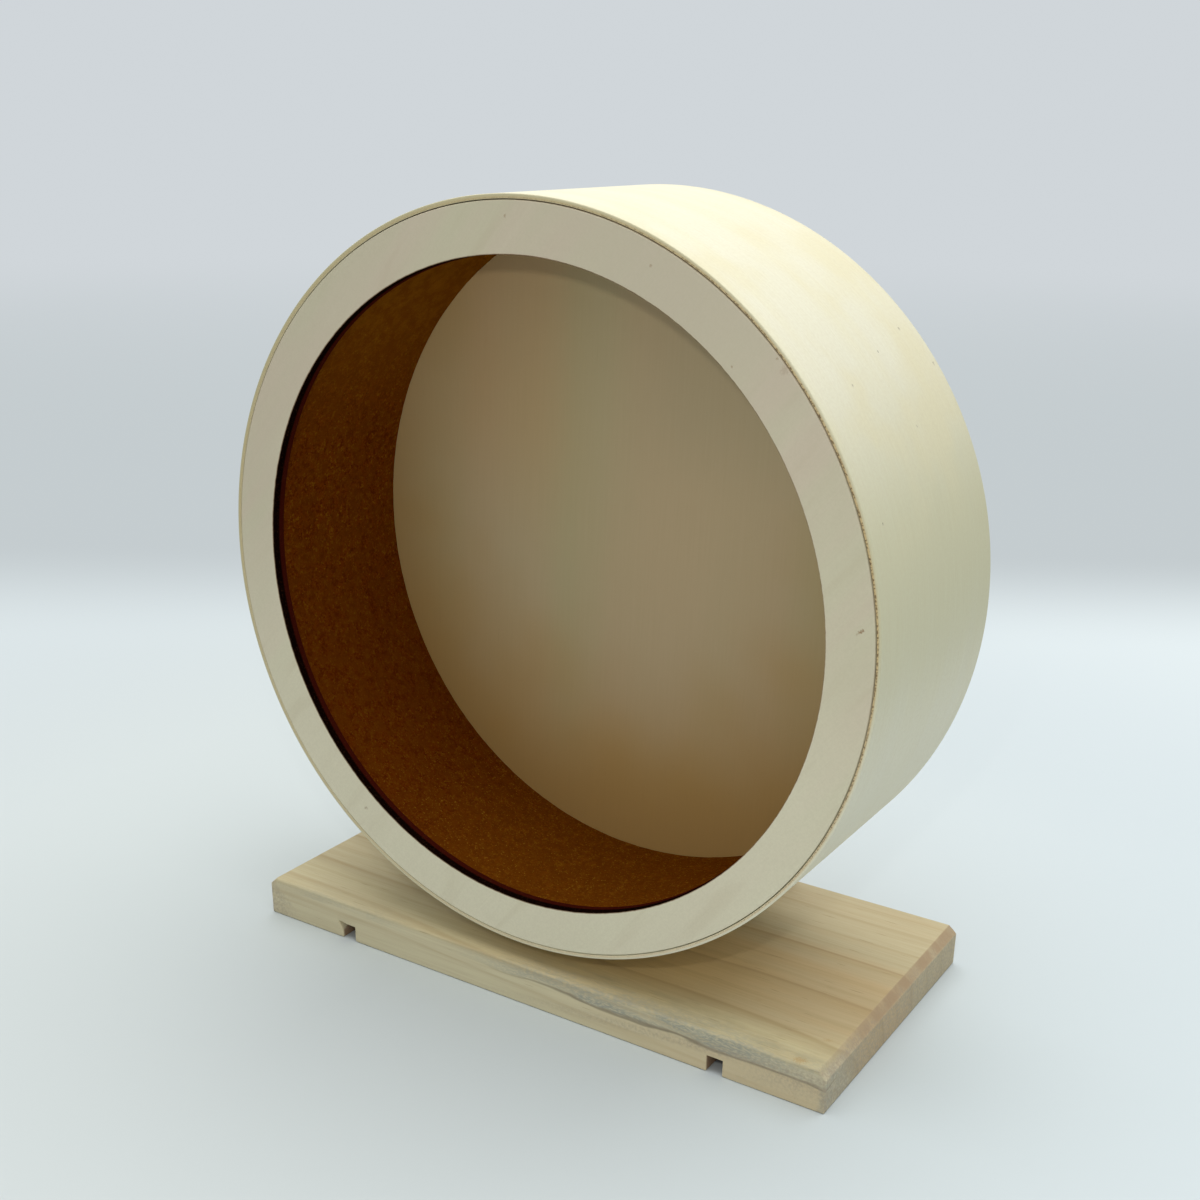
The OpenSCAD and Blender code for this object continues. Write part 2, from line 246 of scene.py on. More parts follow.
def ripple(angle, along, seed, waves, pitch):
    """Smooth wandering between -1 and 1: a sum of cosines of whole turns, with a phase and a slant each."""
    draw = np.random.default_rng(seed)
    turns = np.arange(1, waves + 1)[:, None, None]
    phase = draw.uniform(0, FULL_TURN, waves)[:, None, None]
    slant = draw.uniform(-1, 1, waves)[:, None, None] * FULL_TURN / pitch
    weight = draw.uniform(0.4, 1, waves)[:, None, None] / np.sqrt(turns)
    total = (weight * np.cos(turns * angle[None] + phase + slant * along[None])).sum(0)
    return total / np.abs(total).max()


def ramp(value, length):
    """0 up to zero, 1 from the length on, and even in between."""
    return np.clip(value / length, 0, 1)


def eased(share):
    """Share with level ends: 3 s^2 - 2 s^3."""
    return share * share * (3 - 2 * share)


def square_section(inner, outer, front, back):
    """Corners of a ring's section as radius and depth."""
    return [(inner, front), (outer, front), (outer, back), (inner, back)]


def lumps(across, along, seed, rows, columns):
    """Smooth random lattice from 0 to 1 over shares of a width and of a turn; it repeats after each turn."""
    lattice = np.random.default_rng(seed).uniform(0, 1, (rows + 2, columns))
    row = np.clip(across, 0, 1) * rows
    column = (along % 1.0) * columns
    row_start = np.floor(row).astype(int)
    column_start = np.floor(column).astype(int)
    row_share = eased(row - row_start)
    column_share = eased(column - column_start)
    column_next = (column_start + 1) % columns
    column_start = column_start % columns

    def on_row(number):
        """Lattice values along one row."""
        near, far = lattice[number, column_start], lattice[number, column_next]
        return near * (1 - column_share) + far * column_share

    return on_row(row_start) * (1 - row_share) + on_row(row_start + 1) * row_share


def turned(outline, angles, shape=None):
    """Grid of an outline of (radius, y) points carried round the axle.

    x = radius cos(angle), and z = axle + radius sin(angle).
    shape(radius, y, angle) may return changed radii and depths for the whole grid.
    """
    radius, angle = np.meshgrid(outline[:, 0], angles, indexing="ij")
    depth = np.broadcast_to(outline[:, 1][:, None], radius.shape).copy()
    if shape:
        radius, depth = shape(radius, depth, angle)
    return np.stack([radius * np.cos(angle), depth, AXLE_HEIGHT + radius * np.sin(angle)], 2)


def even_turn(steps):
    """Angles of the given number of columns round one turn."""
    return np.arange(steps) * FULL_TURN / steps


def grid_faces(rows, columns, close_rows, close_columns):
    """Corners of each square of a grid, as rows and columns that may run one past the end."""
    row, column = np.meshgrid(
        np.arange(rows if close_rows else rows - 1),
        np.arange(columns if close_columns else columns - 1),
        indexing="ij",
    )
    row, column = row.ravel(), column.ravel()
    return np.stack([row, row, row + 1, row + 1], 1), np.stack([column, column + 1, column + 1, column], 1)


def six_volumes(points, faces):
    """Six times the signed volume under triangles or squares: the sum of a . (b x c) over their triangles."""
    fans = [(faces[:, 0], faces[:, k], faces[:, k + 1]) for k in range(1, faces.shape[1] - 1)]
    return sum((points[a] * np.cross(points[b], points[c])).sum() for a, b, c in fans)


def add_surface(name, grid, material, close_rows=True, close_columns=True, caps=False, uv=None, marks=None):
    """Mesh object from a grid of points, with faces outwards, poles merged and open ends capped if asked.

    uv is (along each column boundary, along each row boundary), and marks are values on the grid's points.
    """
    rows, columns = grid.shape[:2]
    points = grid.reshape(-1, 3)
    row, column = grid_faces(rows, columns, close_rows, close_columns)
    squares = (row % rows) * columns + column % columns
    ends = [np.arange(columns)[::-1], (rows - 1) * columns + np.arange(columns)] if caps else []
    volume = six_volumes(points, squares) + sum(six_volumes(points, end[None]) for end in ends)
    if volume < 0:
        squares, row, column = squares[:, ::-1], row[:, ::-1], column[:, ::-1]
        ends = [end[::-1] for end in ends]
    mesh = bpy.data.meshes.new(name)
    mesh.from_pydata(points, [], squares.tolist() + [end.tolist() for end in ends])
    if uv:
        layer = mesh.uv_layers.new(name="Surface")
        flat = np.zeros((len(mesh.loops), 2), np.float32)
        flat[: squares.size, 0] = uv[0][column].ravel()
        flat[: squares.size, 1] = uv[1][row].ravel()
        layer.data.foreach_set("uv", flat.ravel())
    for mark, values in (marks or {}).items():
        spread = np.broadcast_to(values, (rows, columns)).ravel().astype(np.float32)
        mesh.attributes.new(mark, "FLOAT", "POINT").data.foreach_set("value", spread)
    merge_poles(mesh)
    mesh.polygons.foreach_set("use_smooth", np.ones(len(mesh.polygons), bool))
    mesh.set_sharp_from_angle(angle=math.radians(38))
    mesh.materials.append(material)
    return add_object(name, mesh)


def merge_poles(mesh):
    """Joins points that lie on each other, so that poles are closed."""
    work = bmesh.new()
    work.from_mesh(mesh)
    bmesh.ops.remove_doubles(work, verts=work.verts, dist=1e-7)
    work.to_mesh(mesh)
    work.free()


def stand_for(piece, body, node):
    """The piece rides on the body and stands for the node, which it hides."""
    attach(piece, body)
    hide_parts(node)


def dress(node, material):
    """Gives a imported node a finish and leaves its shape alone."""
    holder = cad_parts[node]
    if not holder.material_slots:
        raise RuntimeError(f"{node} has no material slot to dress")
    for held in holder.material_slots:
        held.material = material


# Shader nodes

class Wire:
    """An output socket. Sums, differences, products, quotients and powers of wires become math nodes."""

    def __init__(self, socket):
        self.socket = socket

    def __add__(self, other):
        return calc("ADD", self, other)

    def __radd__(self, other):
        return calc("ADD", other, self)

    def __sub__(self, other):
        return calc("SUBTRACT", self, other)

    def __rsub__(self, other):
        return calc("SUBTRACT", other, self)

    def __mul__(self, other):
        return calc("MULTIPLY", self, other)

    def __truediv__(self, other):
        return calc("DIVIDE", self, other)

    def __rtruediv__(self, other):
        return calc("DIVIDE", other, self)

    def __pow__(self, other):
        return calc("POWER", self, other)

    def __abs__(self):
        return calc("ABSOLUTE", self)


def feed(socket, value):
    """Links a socket to a wire, or sets its own value; a colour may be given as the name of a tone."""
    if isinstance(value, Wire):
        socket.id_data.links.new(value.socket, socket)
    elif socket.type == "RGBA":
        socket.default_value = (*(TONES[value] if isinstance(value, str) else value), 1.0)
    else:
        socket.default_value = value


def place(tree, kind, values=None, **settings):
    """One node with its settings, its inputs fed by name or number."""
    made = tree.nodes.new(kind)
    for key, value in settings.items():
        setattr(made, key, value)
    for key, value in (values or {}).items():
        feed(made.inputs[key], value)
    return made


def wired(kind, output, values, **settings):
    """One output of a new node, placed in the tree of the first wire among its values."""
    tree = next(value.socket.id_data for value in values.values() if isinstance(value, Wire))
    return Wire(place(tree, kind, values, **settings).outputs[output])


def calc(operation, *values, clamp=False):
    """Result of a math node."""
    return wired("ShaderNodeMath", 0, dict(enumerate(values)), operation=operation, use_clamp=clamp)


def vector_calc(operation, *values, **named):
    """Result of a vector math node."""
    output = "Value" if operation in {"LENGTH", "DOT_PRODUCT"} else "Vector"
    return wired("ShaderNodeVectorMath", output, {**dict(enumerate(values)), **named}, operation=operation)


def mixed(factor, first, second):
    """Colour between two colours."""
    return wired("ShaderNodeMix", 2, {0: factor, 6: first, 7: second}, data_type="RGBA")


def over(colour, *layers):
    """Colour with layers over it, each given as its share and its own colour."""
    for share, tone in layers:
        colour = mixed(share, colour, tone)
    return colour


def ranged(value, low, high, to_low=0.0, to_high=1.0, smooth=True):
    """Value carried from one range to another, held at its ends."""
    values = {"Value": value, "From Min": low, "From Max": high, "To Min": to_low, "To Max": to_high}
    kind = "SMOOTHSTEP" if smooth else "LINEAR"
    return wired("ShaderNodeMapRange", "Result", values, interpolation_type=kind)


def noise(vector, scale, detail=2.0, roughness=0.5, distortion=0.0, output="Fac"):
    """Value or colour of a noise texture."""
    values = {"Scale": scale, "Detail": detail, "Roughness": roughness, "Distortion": distortion}
    return wired("ShaderNodeTexNoise", output, {"Vector": vector, **values})


def split(vector):
    """X, Y and Z of a vector."""
    made = place(vector.socket.id_data, "ShaderNodeSeparateXYZ", {0: vector})
    return [Wire(part) for part in made.outputs]


def mapped(vector, **parts):
    """Vector after a mapping with the given Location, Rotation or Scale."""
    return wired("ShaderNodeMapping", "Vector", {"Vector": vector, **parts})


def reach_about(vector, shift, weights):
    """Length of a shifted vector whose X, Y and Z are weighted."""
    return vector_calc("LENGTH", vector_calc("MULTIPLY", mapped(vector, Location=shift), weights))


class Finish:
    """A new material, with constants on its shader's own sockets and the piece's coordinates as a wire."""

    def __init__(self, name, **constants):
        self.material = bpy.data.materials.new(name)
        self.material.use_nodes = True
        self.tree = self.material.node_tree
        self.shader = self.tree.nodes["Principled BSDF"]
        for key, value in constants.items():
            self.shader.inputs[key.replace("_", " ")].default_value = value
        self.vector = self.source("ShaderNodeTexCoord", "Object")

    def source(self, kind, output, **settings):
        """Wire from a new node that takes nothing in."""
        return Wire(place(self.tree, kind, **settings).outputs[output])

    def mark(self, name):
        """Value of one of the surface's marks."""
        return self.source("ShaderNodeAttribute", "Fac", attribute_name=name)

    def turned(self, degrees, shift):
        """Coordinates turned about Y, so that X runs along the grain of a face that is square to Y."""
        return mapped(self.vector, Location=shift, Rotation=(0.0, math.radians(degrees), 0.0))

    def done(self, colour, roughness, height, strength, distance):
        """Feeds the shader its colour, its roughness and a height's normal, and returns the material."""
        values = {"Height": height, "Strength": strength, "Distance": distance}
        normal = wired("ShaderNodeBump", "Normal", values)
        for label, value in {"Base Color": colour, "Roughness": roughness, "Normal": normal}.items():
            feed(self.shader.inputs[label], value)
        return self.material


# Shared effects

SOCKETS = {"VALUE": "NodeSocketFloat", "VECTOR": "NodeSocketVector", "RGBA": "NodeSocketColor"}


def add_effect(make, name, inputs):
    """Shader node group; an input is given as its number, or as the kind of a socket that gets no value here.

    make takes the inputs as wires, and returns the outputs as wires by their names.
    """
    tree = bpy.data.node_groups.new(name, "ShaderNodeTree")
    for label, start in inputs.items():
        kind = start if start in SOCKETS else "VALUE"
        socket = tree.interface.new_socket(label, in_out="INPUT", socket_type=SOCKETS[kind])
        if kind != start:
            socket.default_value = start
    entry = tree.nodes.new("NodeGroupInput")
    made = make(*[Wire(socket) for socket in entry.outputs[: len(inputs)]])
    for label, wire in made.items():
        tree.interface.new_socket(label, in_out="OUTPUT", socket_type=SOCKETS[wire.socket.type])
    leave = tree.nodes.new("NodeGroupOutput")
    for label, wire in made.items():
        feed(leave.inputs[label], wire)


def grouped(name, **values):
    """Outputs of a shared effect as wires by their names; names of inputs use _ for a space."""
    tree = values["Vector"].socket.id_data
    made = place(tree, "ShaderNodeGroup", node_tree=bpy.data.node_groups[name])
    for key, value in values.items():
        feed(made.inputs[key.replace("_", " ")], value)
    return {output.name: Wire(output) for output in made.outputs}


def wood_streaks(vector, band_length, band_width, fibre_length, fibre_width):
    """Grain of a cut face: broad soft bands, fine fibres and short open pores along X."""

    def stretched(length, width, share=1.0):
        """The vector in units of the given length along X and of the width across it."""
        parts = wired("ShaderNodeCombineXYZ", 0, {0: length, 1: width, 2: width})
        return vector_calc("SCALE", vector_calc("DIVIDE", vector, parts), Scale=share)

    bands = noise(stretched(band_length, band_width), 1.0, 2.0, 0.45, 0.3)
    fibres = noise(stretched(fibre_length, fibre_width), 1.0, 3.0, 0.6)
    pores = noise(stretched(fibre_length, fibre_width, 2.2), 1.0, 1.0)
    return {
        "Bands": ranged(bands, 0.32, 0.68),
        "Fibres": ranged(fibres, 0.25, 0.75),
        "Pores": ranged(pores, 0.68, 0.78),
    }


def pin_knot(vector, centre, turn, long, wide):
    """Small dark fleck: an uneven ellipse in X and Z of the given vector."""
    offset = {"Vector": vector_calc("SUBTRACT", vector, centre), "Angle": turn}
    x, _, z = split(wired("ShaderNodeVectorRotate", "Vector", offset, rotation_type="Y_AXIS"))
    reach = calc("SQRT", (x / long) ** 2.0 + (z / wide) ** 2.0)
    uneven = ranged(noise(vector, 1500.0), 0.3, 0.7, -0.35, 0.35)
    return {"Mask": ranged(reach + uneven, 1.0, 0.25)}


def laser_scorch(vector, burn, wood, char):
    """Laser-burnt edge: brown at its border, near black where it is deepest."""
    uneven = noise(vector, 420.0, 3.0, 0.6)
    burn = burn + ranged(uneven, 0.2, 0.8, -0.12, 0.12, smooth=False)
    lines = ranged(noise(vector, 1400.0), 0.55, 0.8, 0.0, 0.5)
    charred = mixed(lines, char, "char lines")
    burnt = mixed(ranged(burn, 0.5, 0.95), mixed(0.72, wood, "toast"), charred)
    return {"Colour": mixed(ranged(burn, 0.25, 0.6), wood, burnt)}


def plywood_edge(vector, depth, layer):
    """Layers of a plywood edge at a depth below one face: glue lines, and every second layer's end grain."""
    wander = ranged(noise(vector, 60.0), 0.2, 0.8, -0.06, 0.06, smooth=False)
    count = depth / layer + wander
    second = calc("FRACT", calc("FLOOR", count) * 0.5)
    return {
        "Glue": ranged(abs(calc("FRACT", count) - 0.5), 0.42, 0.49),
        "End Grain": calc("GREATER_THAN", second, 0.25),
    }


def edge_rub(vector, edge, amount, scale):
    """Where an edge is rubbed: its nearness broken up by noise."""
    broken = ranged(noise(vector, scale, 3.0, 0.6), 0.3, 0.7, 0.35, 1.2, smooth=False)
    return {"Mask": ranged(edge * broken, 1.0 - amount, 1.0)}


def pine_figure(vector, pith, tilt, warp):
    """Growth rings about a pith near X: a distance warped by slow noise, with broad streaks and fibres."""
    drift = noise(mapped(vector, Scale=(5.0, 16.0, 16.0)), 1.0, 1.5, output="Color")
    moved = vector_calc("SCALE", vector_calc("SUBTRACT", drift, HALF), Scale=warp)
    raised = wired("ShaderNodeCombineXYZ", 0, {0: 0.0, 1: 0.0, 2: split(vector)[0] * tilt})
    offset = vector_calc("SUBTRACT", vector_calc("ADD", vector, raised), pith)
    offset = vector_calc("ADD", offset, moved)
    return {
        "Radius": vector_calc("LENGTH", vector_calc("MULTIPLY", offset, (0, 1, 1))),
        "Broad": noise(mapped(vector, Scale=(7.0, 75.0, 75.0)), 1.0),
        "Fibres": noise(mapped(vector, Scale=(26.0, 900.0, 900.0)), 1.0, 3.0, 0.6),
    }


def cork_granules(vector, granule):
    """Pressed cork: cells with a tone each, thin gaps between them, and dark bark specks."""
    centred = vector_calc("SUBTRACT", noise(vector, 700.0, output="Color"), HALF)
    moved = vector_calc("ADD", vector, vector_calc("MULTIPLY", centred, (0.0016,) * 3))
    cells = {"Vector": moved, "Scale": 1.0 / granule}
    tone = wired("ShaderNodeSeparateColor", 0, {0: wired("ShaderNodeTexVoronoi", "Color", cells)})
    gaps = wired("ShaderNodeTexVoronoi", "Distance", cells, feature="DISTANCE_TO_EDGE")
    fine = noise(vector, 2600.0, 3.0, 0.65)
    return {
        "Tone": tone,
        "Gap": ranged(gaps, 0.10, 0.0),
        "Bark": ranged(noise(vector, 950.0), 0.62, 0.72),
        "Height": ranged(gaps, 0.0, 0.25) + fine * 0.7 + tone * 0.5,
    }


def metal_finish(vector, smooth, rough):
    """Plated or ground steel: cloudy roughness, faint tone and fine marks."""
    cloud = noise(vector, 260.0, 3.0, 0.6)
    return {
        "Tone": cloud,
        "Roughness": ranged(cloud, 0.3, 0.7, smooth, rough, smooth=False),
        "Height": noise(vector, 4200.0, 2.0, 0.6),
    }


HALF = (0.5, 0.5, 0.5)
GRAIN = {"Band Length": 0.25, "Band Width": 0.02, "Fibre Length": 0.03, "Fibre Width": 0.0007}
EFFECTS = [
    (wood_streaks, "Wood Streaks", GRAIN),
    (pin_knot, "Pin Knot", {"Centre": "VECTOR", "Turn": 0.0, "Long": 0.001, "Wide": 0.0005}),
    (laser_scorch, "Laser Scorch", {"Burn": 0.0, "Wood": "RGBA", "Char": "RGBA"}),
    (plywood_edge, "Plywood Edge", {"Depth": 0.0, "Layer": 0.0013}),
    (edge_rub, "Edge Rub", {"Edge": 0.0, "Amount": 0.5, "Scale": 300.0}),
    (pine_figure, "Pine Figure", {"Pith": "VECTOR", "Tilt": 0.0, "Warp": 0.016}),
    (cork_granules, "Cork Granules", {"Granule": 0.002}),
    (metal_finish, "Metal Finish", {"Smooth": 0.2, "Rough": 0.45}),
]


def build_effects():
    """Builds each shared effect once; all of them take a vector first."""
    for make, name, inputs in EFFECTS:
        if name not in bpy.data.node_groups:
            add_effect(make, name, {"Vector": "VECTOR", **inputs})


# Finishes

# Tones of small details, in linear light, by the names that node inputs are given
TONES = {
    "char lines": (0.085, 0.032, 0.012),
    "toast": (0.20, 0.085, 0.025),
    # Painted shade on the band's right side and painted light on its underside
    "band painted right shade": (0.61, 0.585, 0.39),
    "band painted underside light": (0.80, 0.76, 0.59),
    "band golden": (0.735, 0.67, 0.435),
    "band mottled": (0.56, 0.48, 0.31),
    "band fibre": (0.50, 0.42, 0.25),
    "band pore": (0.36, 0.26, 0.13),
    "band speck": (0.16, 0.11, 0.06),
    "band rim": (0.50, 0.44, 0.245),
    "band inner rim": (0.60, 0.42, 0.185),
    "band burnt dots": (0.10, 0.05, 0.018),
    "ring fibre": (0.45, 0.38, 0.24),
    "ring pore": (0.36, 0.28, 0.16),
    "ring vein": (0.45, 0.36, 0.22),
    "ring pale vein": (0.72, 0.67, 0.50),
    "ring painted upper right shade": (0.555, 0.475, 0.365),
    "ring mottled": (0.50, 0.45, 0.31),
    "ring knot": (0.27, 0.155, 0.075),
    "ring ember": (0.05, 0.006, 0.003),
    "facing rosy": (0.625, 0.395, 0.165),
    "facing painted ring shadow": (0.50, 0.42, 0.245),
    "facing fibre": (0.36, 0.27, 0.15),
    "facing pore": (0.22, 0.15, 0.08),
    "plywood fibre": (0.42, 0.30, 0.16),
    "plywood pore": (0.25, 0.16, 0.08),
    "plywood end grain": (0.40, 0.27, 0.13),
    "plywood glue": (0.12, 0.06, 0.025),
    "cork bark": (0.05, 0.012, 0.001),
    "cork olive": (0.165, 0.045, 0.002),
    "cork pale": (0.36, 0.17, 0.02),
    "pine sapwood on top": (0.60, 0.52, 0.305),
    "pine left": (0.60, 0.53, 0.345),
    "pine painted warm shade": (0.60, 0.41, 0.15),
    "pine fibre": (0.40, 0.29, 0.15),
    "pine dash": (0.27, 0.17, 0.07),
    "pine smudge": (0.40, 0.33, 0.185),
    "pine below stain": (0.635, 0.50, 0.30),
    "pine painted groove shade": (0.25, 0.13, 0.075),
    "pine stain line": (0.21, 0.17, 0.11),
    "pine resin": (0.42, 0.25, 0.085),
    "pine end grain": (0.39, 0.325, 0.235),
    "pine end rings": (0.30, 0.22, 0.135),
    "pine bevel": (0.395, 0.275, 0.16),
    "pine rubbed": (0.60, 0.50, 0.32),
    "metal cloud": (0.5, 0.5, 0.52),
    "brass": (0.62, 0.42, 0.16),
    "brass cloud": (0.5, 0.3, 0.1),
    "nylon cloud": (0.06, 0.17, 0.6),
    "ambient light": (0.96, 1.0, 1.04),
}


def streaks(vector, band_length, band_width, fibre_length, fibre_width):
    """Bands, fibres and pores of a grain with the given lengths and widths."""
    lengths = {"Band_Length": band_length, "Band_Width": band_width}
    return grouped(
        "Wood Streaks", Vector=vector, Fibre_Length=fibre_length, Fibre_Width=fibre_width, **lengths
    ).values()


def flecked(colour, vector, tone, flecks):
    """Colour with small flecks: each has a centre, a turn, a length and width in mm, and a strength."""
    for centre, turn, long, wide, strength in flecks:
        fleck = grouped("Pin Knot", Vector=vector, Centre=centre, Turn=turn, Long=long * MM, Wide=wide * MM)
        colour = mixed(fleck["Mask"] * strength, colour, tone)
    return colour


def burnt(vector, burn, wood, char):
    """Wood with laser-burnt places."""
    return grouped("Laser Scorch", Vector=vector, Burn=burn, Wood=wood, Char=char)["Colour"]


# Angle about the axle, depth behind the wheel's middle, size and strength of the band's specks
BAND_SPECKS = [
    (19.6, -50.9, 0.6, 0.8),
    (29.5, -1.6, 0.7, 0.4),
    (37.1, 36.3, 1.1, 0.45),
    (37.6, -33.2, 0.9, 0.5),
    (41.1, -1.0, 0.8, 0.55),
    (43.6, 26.5, 1.2, 0.45),
]


def band_material():
    """Bent veneer: cream, with streaks round the wheel, golden patches, specks and fine mottling.

    Painted shade darkens its right side, and painted light from the floor pales its underside. Its rims are
    olive to brown, and the front one has burnt dots beside the dark joint. X of the vector runs round the
    wheel and Z across the band.
    """
    finish = Finish("bent_veneer", Specular_IOR_Level=0.3)
    hue = colours()
    wrap = finish.source("ShaderNodeUVMap", "UV", uv_map="Surface")
    vector = mapped(wrap, Rotation=(math.radians(90), 0.0, 0.0))
    bands, fibres, pores = streaks(vector, 0.22, 0.016, 0.03, 0.0006)
    around = split(vector)[0]
    # Painted shade on the right side, and painted light from the floor underneath
    right = ranged(around, -0.05, 0.02) * ranged(around, 0.105, 0.035)
    underneath = ranged(around, 0.0, -0.05) * ranged(around, -0.20, -0.14)
    golden = ranged(noise(vector, 22.0, 3.0, 0.55), 0.45, 0.65, 0.0, 0.55)
    golden = golden * ranged(around, 0.02, 0.08) * ranged(around, 0.22, 0.15)
    colour = over(
        mixed(bands, hue.band, hue.band_warm),
        (right * 0.9, "band painted right shade"),
        (underneath * 0.75, "band painted underside light"),
        (golden, "band golden"),
        (ranged(noise(vector, 700.0, 3.0, 0.65), 0.35, 0.7, 0.0, 0.16), "band mottled"),
        (fibres * 0.10, "band fibre"),
        (pores * 0.16, "band pore"),
    )
    outer = radii("rim_band")[1]
    colour = flecked(colour, vector, "band speck", [
        ((math.radians(angle) * outer, 0.0, depth * MM), 0.3, size, size * 0.7, strength)
        for angle, depth, size, strength in BAND_SPECKS
    ])
    inner = finish.mark("inner_rim")
    broken = ranged(noise(finish.vector, 1500.0, 3.0, 0.6), 0.49, 0.58)
    colour = over(
        colour,
        (finish.mark("rim") * 0.9, "band rim"),
        (inner * 0.9, "band inner rim"),
        (ranged(inner, 0.3, 0.9) * broken * 0.85, "band burnt dots"),
    )
    colour = burnt(finish.vector, finish.mark("scorch"), colour, hue.scorch)
    return finish.done(colour, ranged(fibres, 0.0, 1.0, 0.55, 0.7), fibres, 0.25, 0.0001)


# Place along X and above the floor, turn, length, width and strength of the ring's pin knots
RING_KNOTS = [
    (137.0, 186.3, 0.8, 1.9, 0.75, 0.8),
    (-4.4, 308.5, 1.5, 0.9, 0.6, 0.45),
    (54.1, 295.6, 0.0, 0.7, 0.6, 0.40),
    (85.5, 266.2, 0.8, 0.7, 0.6, 0.45),
    (-81.4, 66.1, 0.4, 1.3, 0.9, 0.40),
    (104.4, 267.0, 1.0, 2.6, 1.6, 0.22),
    (101.4, 270.1, 0.0, 0.6, 0.5, 0.45),
]


def ring_material():
    """Front ring: pale veneer with slanting pink and green bands, veins, pin knots, a burnt mouth, painted
    light low down and painted shade at its upper right.
    """
    finish = Finish("ring_veneer", Specular_IOR_Level=0.0)
    hue = colours()
    vector = finish.vector
    x, y, z = split(vector)
    bands, fibres, pores = streaks(finish.turned(50, (0.03, 0.0, 0.1)), 0.13, 0.017, 0.02, 0.0006)
    wander = ranged(noise(vector, 11.0), 0.3, 0.7, -0.03, 0.03, smooth=False)
    slanted = mapped(finish.turned(50, (0.0, 0.0, 0.4)), Scale=(14.0, 14.0, 105.0))
    veins = noise(slanted, 1.0, 2.0, 0.5, 0.4)
    colour = over(
        mixed(bands, hue.ring_green, hue.ring_pink),
        # Painted light: paler towards the bottom of the ring
        (ranged(z + wander, 0.25, 0.02, 0.0, 0.95), hue.ring_painted_light_low),
        (fibres * 0.07, "ring fibre"),
        (pores * 0.12, "ring pore"),
        (ranged(veins, 0.55, 0.72, 0.0, 0.15), "ring vein"),
        (ranged(veins, 0.42, 0.28, 0.0, 0.12), "ring pale vein"),
        # Painted shade: the ring's upper right is darkened as if less light falls there
        (ranged(z, 0.22, 0.29) * ranged(x, -0.03, 0.07, 0.0, 0.6), "ring painted upper right shade"),
        (ranged(noise(vector, 1100.0, 3.0, 0.65), 0.3, 0.7, 0.0, 0.16), "ring mottled"),
    )
    front = depths("front_ring")[0]
    colour = flecked(colour, vector, "ring knot", [
        ((across * MM, front, up * MM), turn, long, wide, strength)
        for across, up, turn, long, wide, strength in RING_KNOTS
    ])
    char = mixed(ranged(y, front + 3.2 * MM, front + 4.2 * MM), hue.scorch, "ring ember")
    colour = burnt(vector, finish.mark("scorch"), colour, char)
    return finish.done(colour, ranged(fibres, 0.0, 1.0, 0.55, 0.68), fibres, 0.2, 0.0001)


def facing_material():
    """Inner facing: plain veneer with faint upright streaks, and a darker honey tone towards the cork,
    painted as the cork's shade and reddish reflected light.

    Its upper left is rosy, and painted shadow of the ring darkens its upper right.
    """
    finish = Finish("facing_veneer", Specular_IOR_Level=0.2)
    hue = colours()
    vector = finish.vector
    x, _, z = split(vector)
    bands, fibres, pores = streaks(finish.turned(88, (0.0, 0.0, -0.055)), 0.5, 0.05, 0.04, 0.0008)
    reach = reach_about(vector, (0.006, 0.0, -0.215), (1, 0, 1))
    uneven = ranged(noise(vector, 14.0), 0.3, 0.7, -0.012, 0.012)
    colour = over(
        mixed(bands, hue.facing_green, hue.facing_pink),
        (ranged(x, -0.02, -0.06) * ranged(z, 0.15, 0.23, 0.0, 0.42), "facing rosy"),
        # Painted shadow that the ring casts on the facing's upper right
        (ranged(x, -0.02, 0.02) * ranged(z, 0.19, 0.235, 0.0, 0.45), "facing painted ring shadow"),
        # Painted shade and light reflected from the cork, growing towards the facing's edge
        (ranged(reach + uneven, 0.068, 0.167), hue.facing_cork_light_and_shade),
        (fibres * 0.05, "facing fibre"),
        (pores * 0.06, "facing pore"),
    )
    return finish.done(colour, ranged(fibres, 0.0, 1.0, 0.55, 0.7), fibres, 0.2, 0.0001)


def plywood_material(name, degrees, front, marked=True):
    """Laser-cut plywood: streaked faces, layered edges and burnt cuts.

    The cuts are the surface's marks, or else every face that is not square to Y.
    """
    finish = Finish(name)
    hue = colours()
    bands, fibres, pores = streaks(finish.turned(degrees, (0.2, 0.0, 0.07)), 0.3, 0.014, 0.03, 0.0007)
    faces = over(
        mixed(bands, hue.plywood, hue.plywood_dark),
        (fibres * 0.2, "plywood fibre"),
        (pores * 0.35, "plywood pore"),
    )
    depth = split(finish.vector)[1] - front
    layers = grouped("Plywood Edge", Vector=finish.vector, Depth=depth, Layer=sizes().ply)
    edges = over(
        faces,
        (layers["End Grain"] * 0.45, "plywood end grain"),
        (layers["Glue"] * 0.7, "plywood glue"),
    )
    side, cut = plywood_cuts(finish, marked)
    colour = burnt(finish.vector, cut, mixed(side, faces, edges), hue.scorch)
    height = fibres + layers["Glue"] * side
    return finish.done(colour, ranged(fibres, 0.0, 1.0, 0.55, 0.72), height, 0.25, 0.0001)


def plywood_cuts(finish, marked):
    """Mask of the cut sides and how far they are burnt."""
    if marked:
        return finish.mark("side"), finish.mark("scorch")
    facing = abs(split(finish.source("ShaderNodeTexCoord", "Normal"))[1])
    side = ranged(facing, 0.9, 0.6)
    return side, side * 0.62


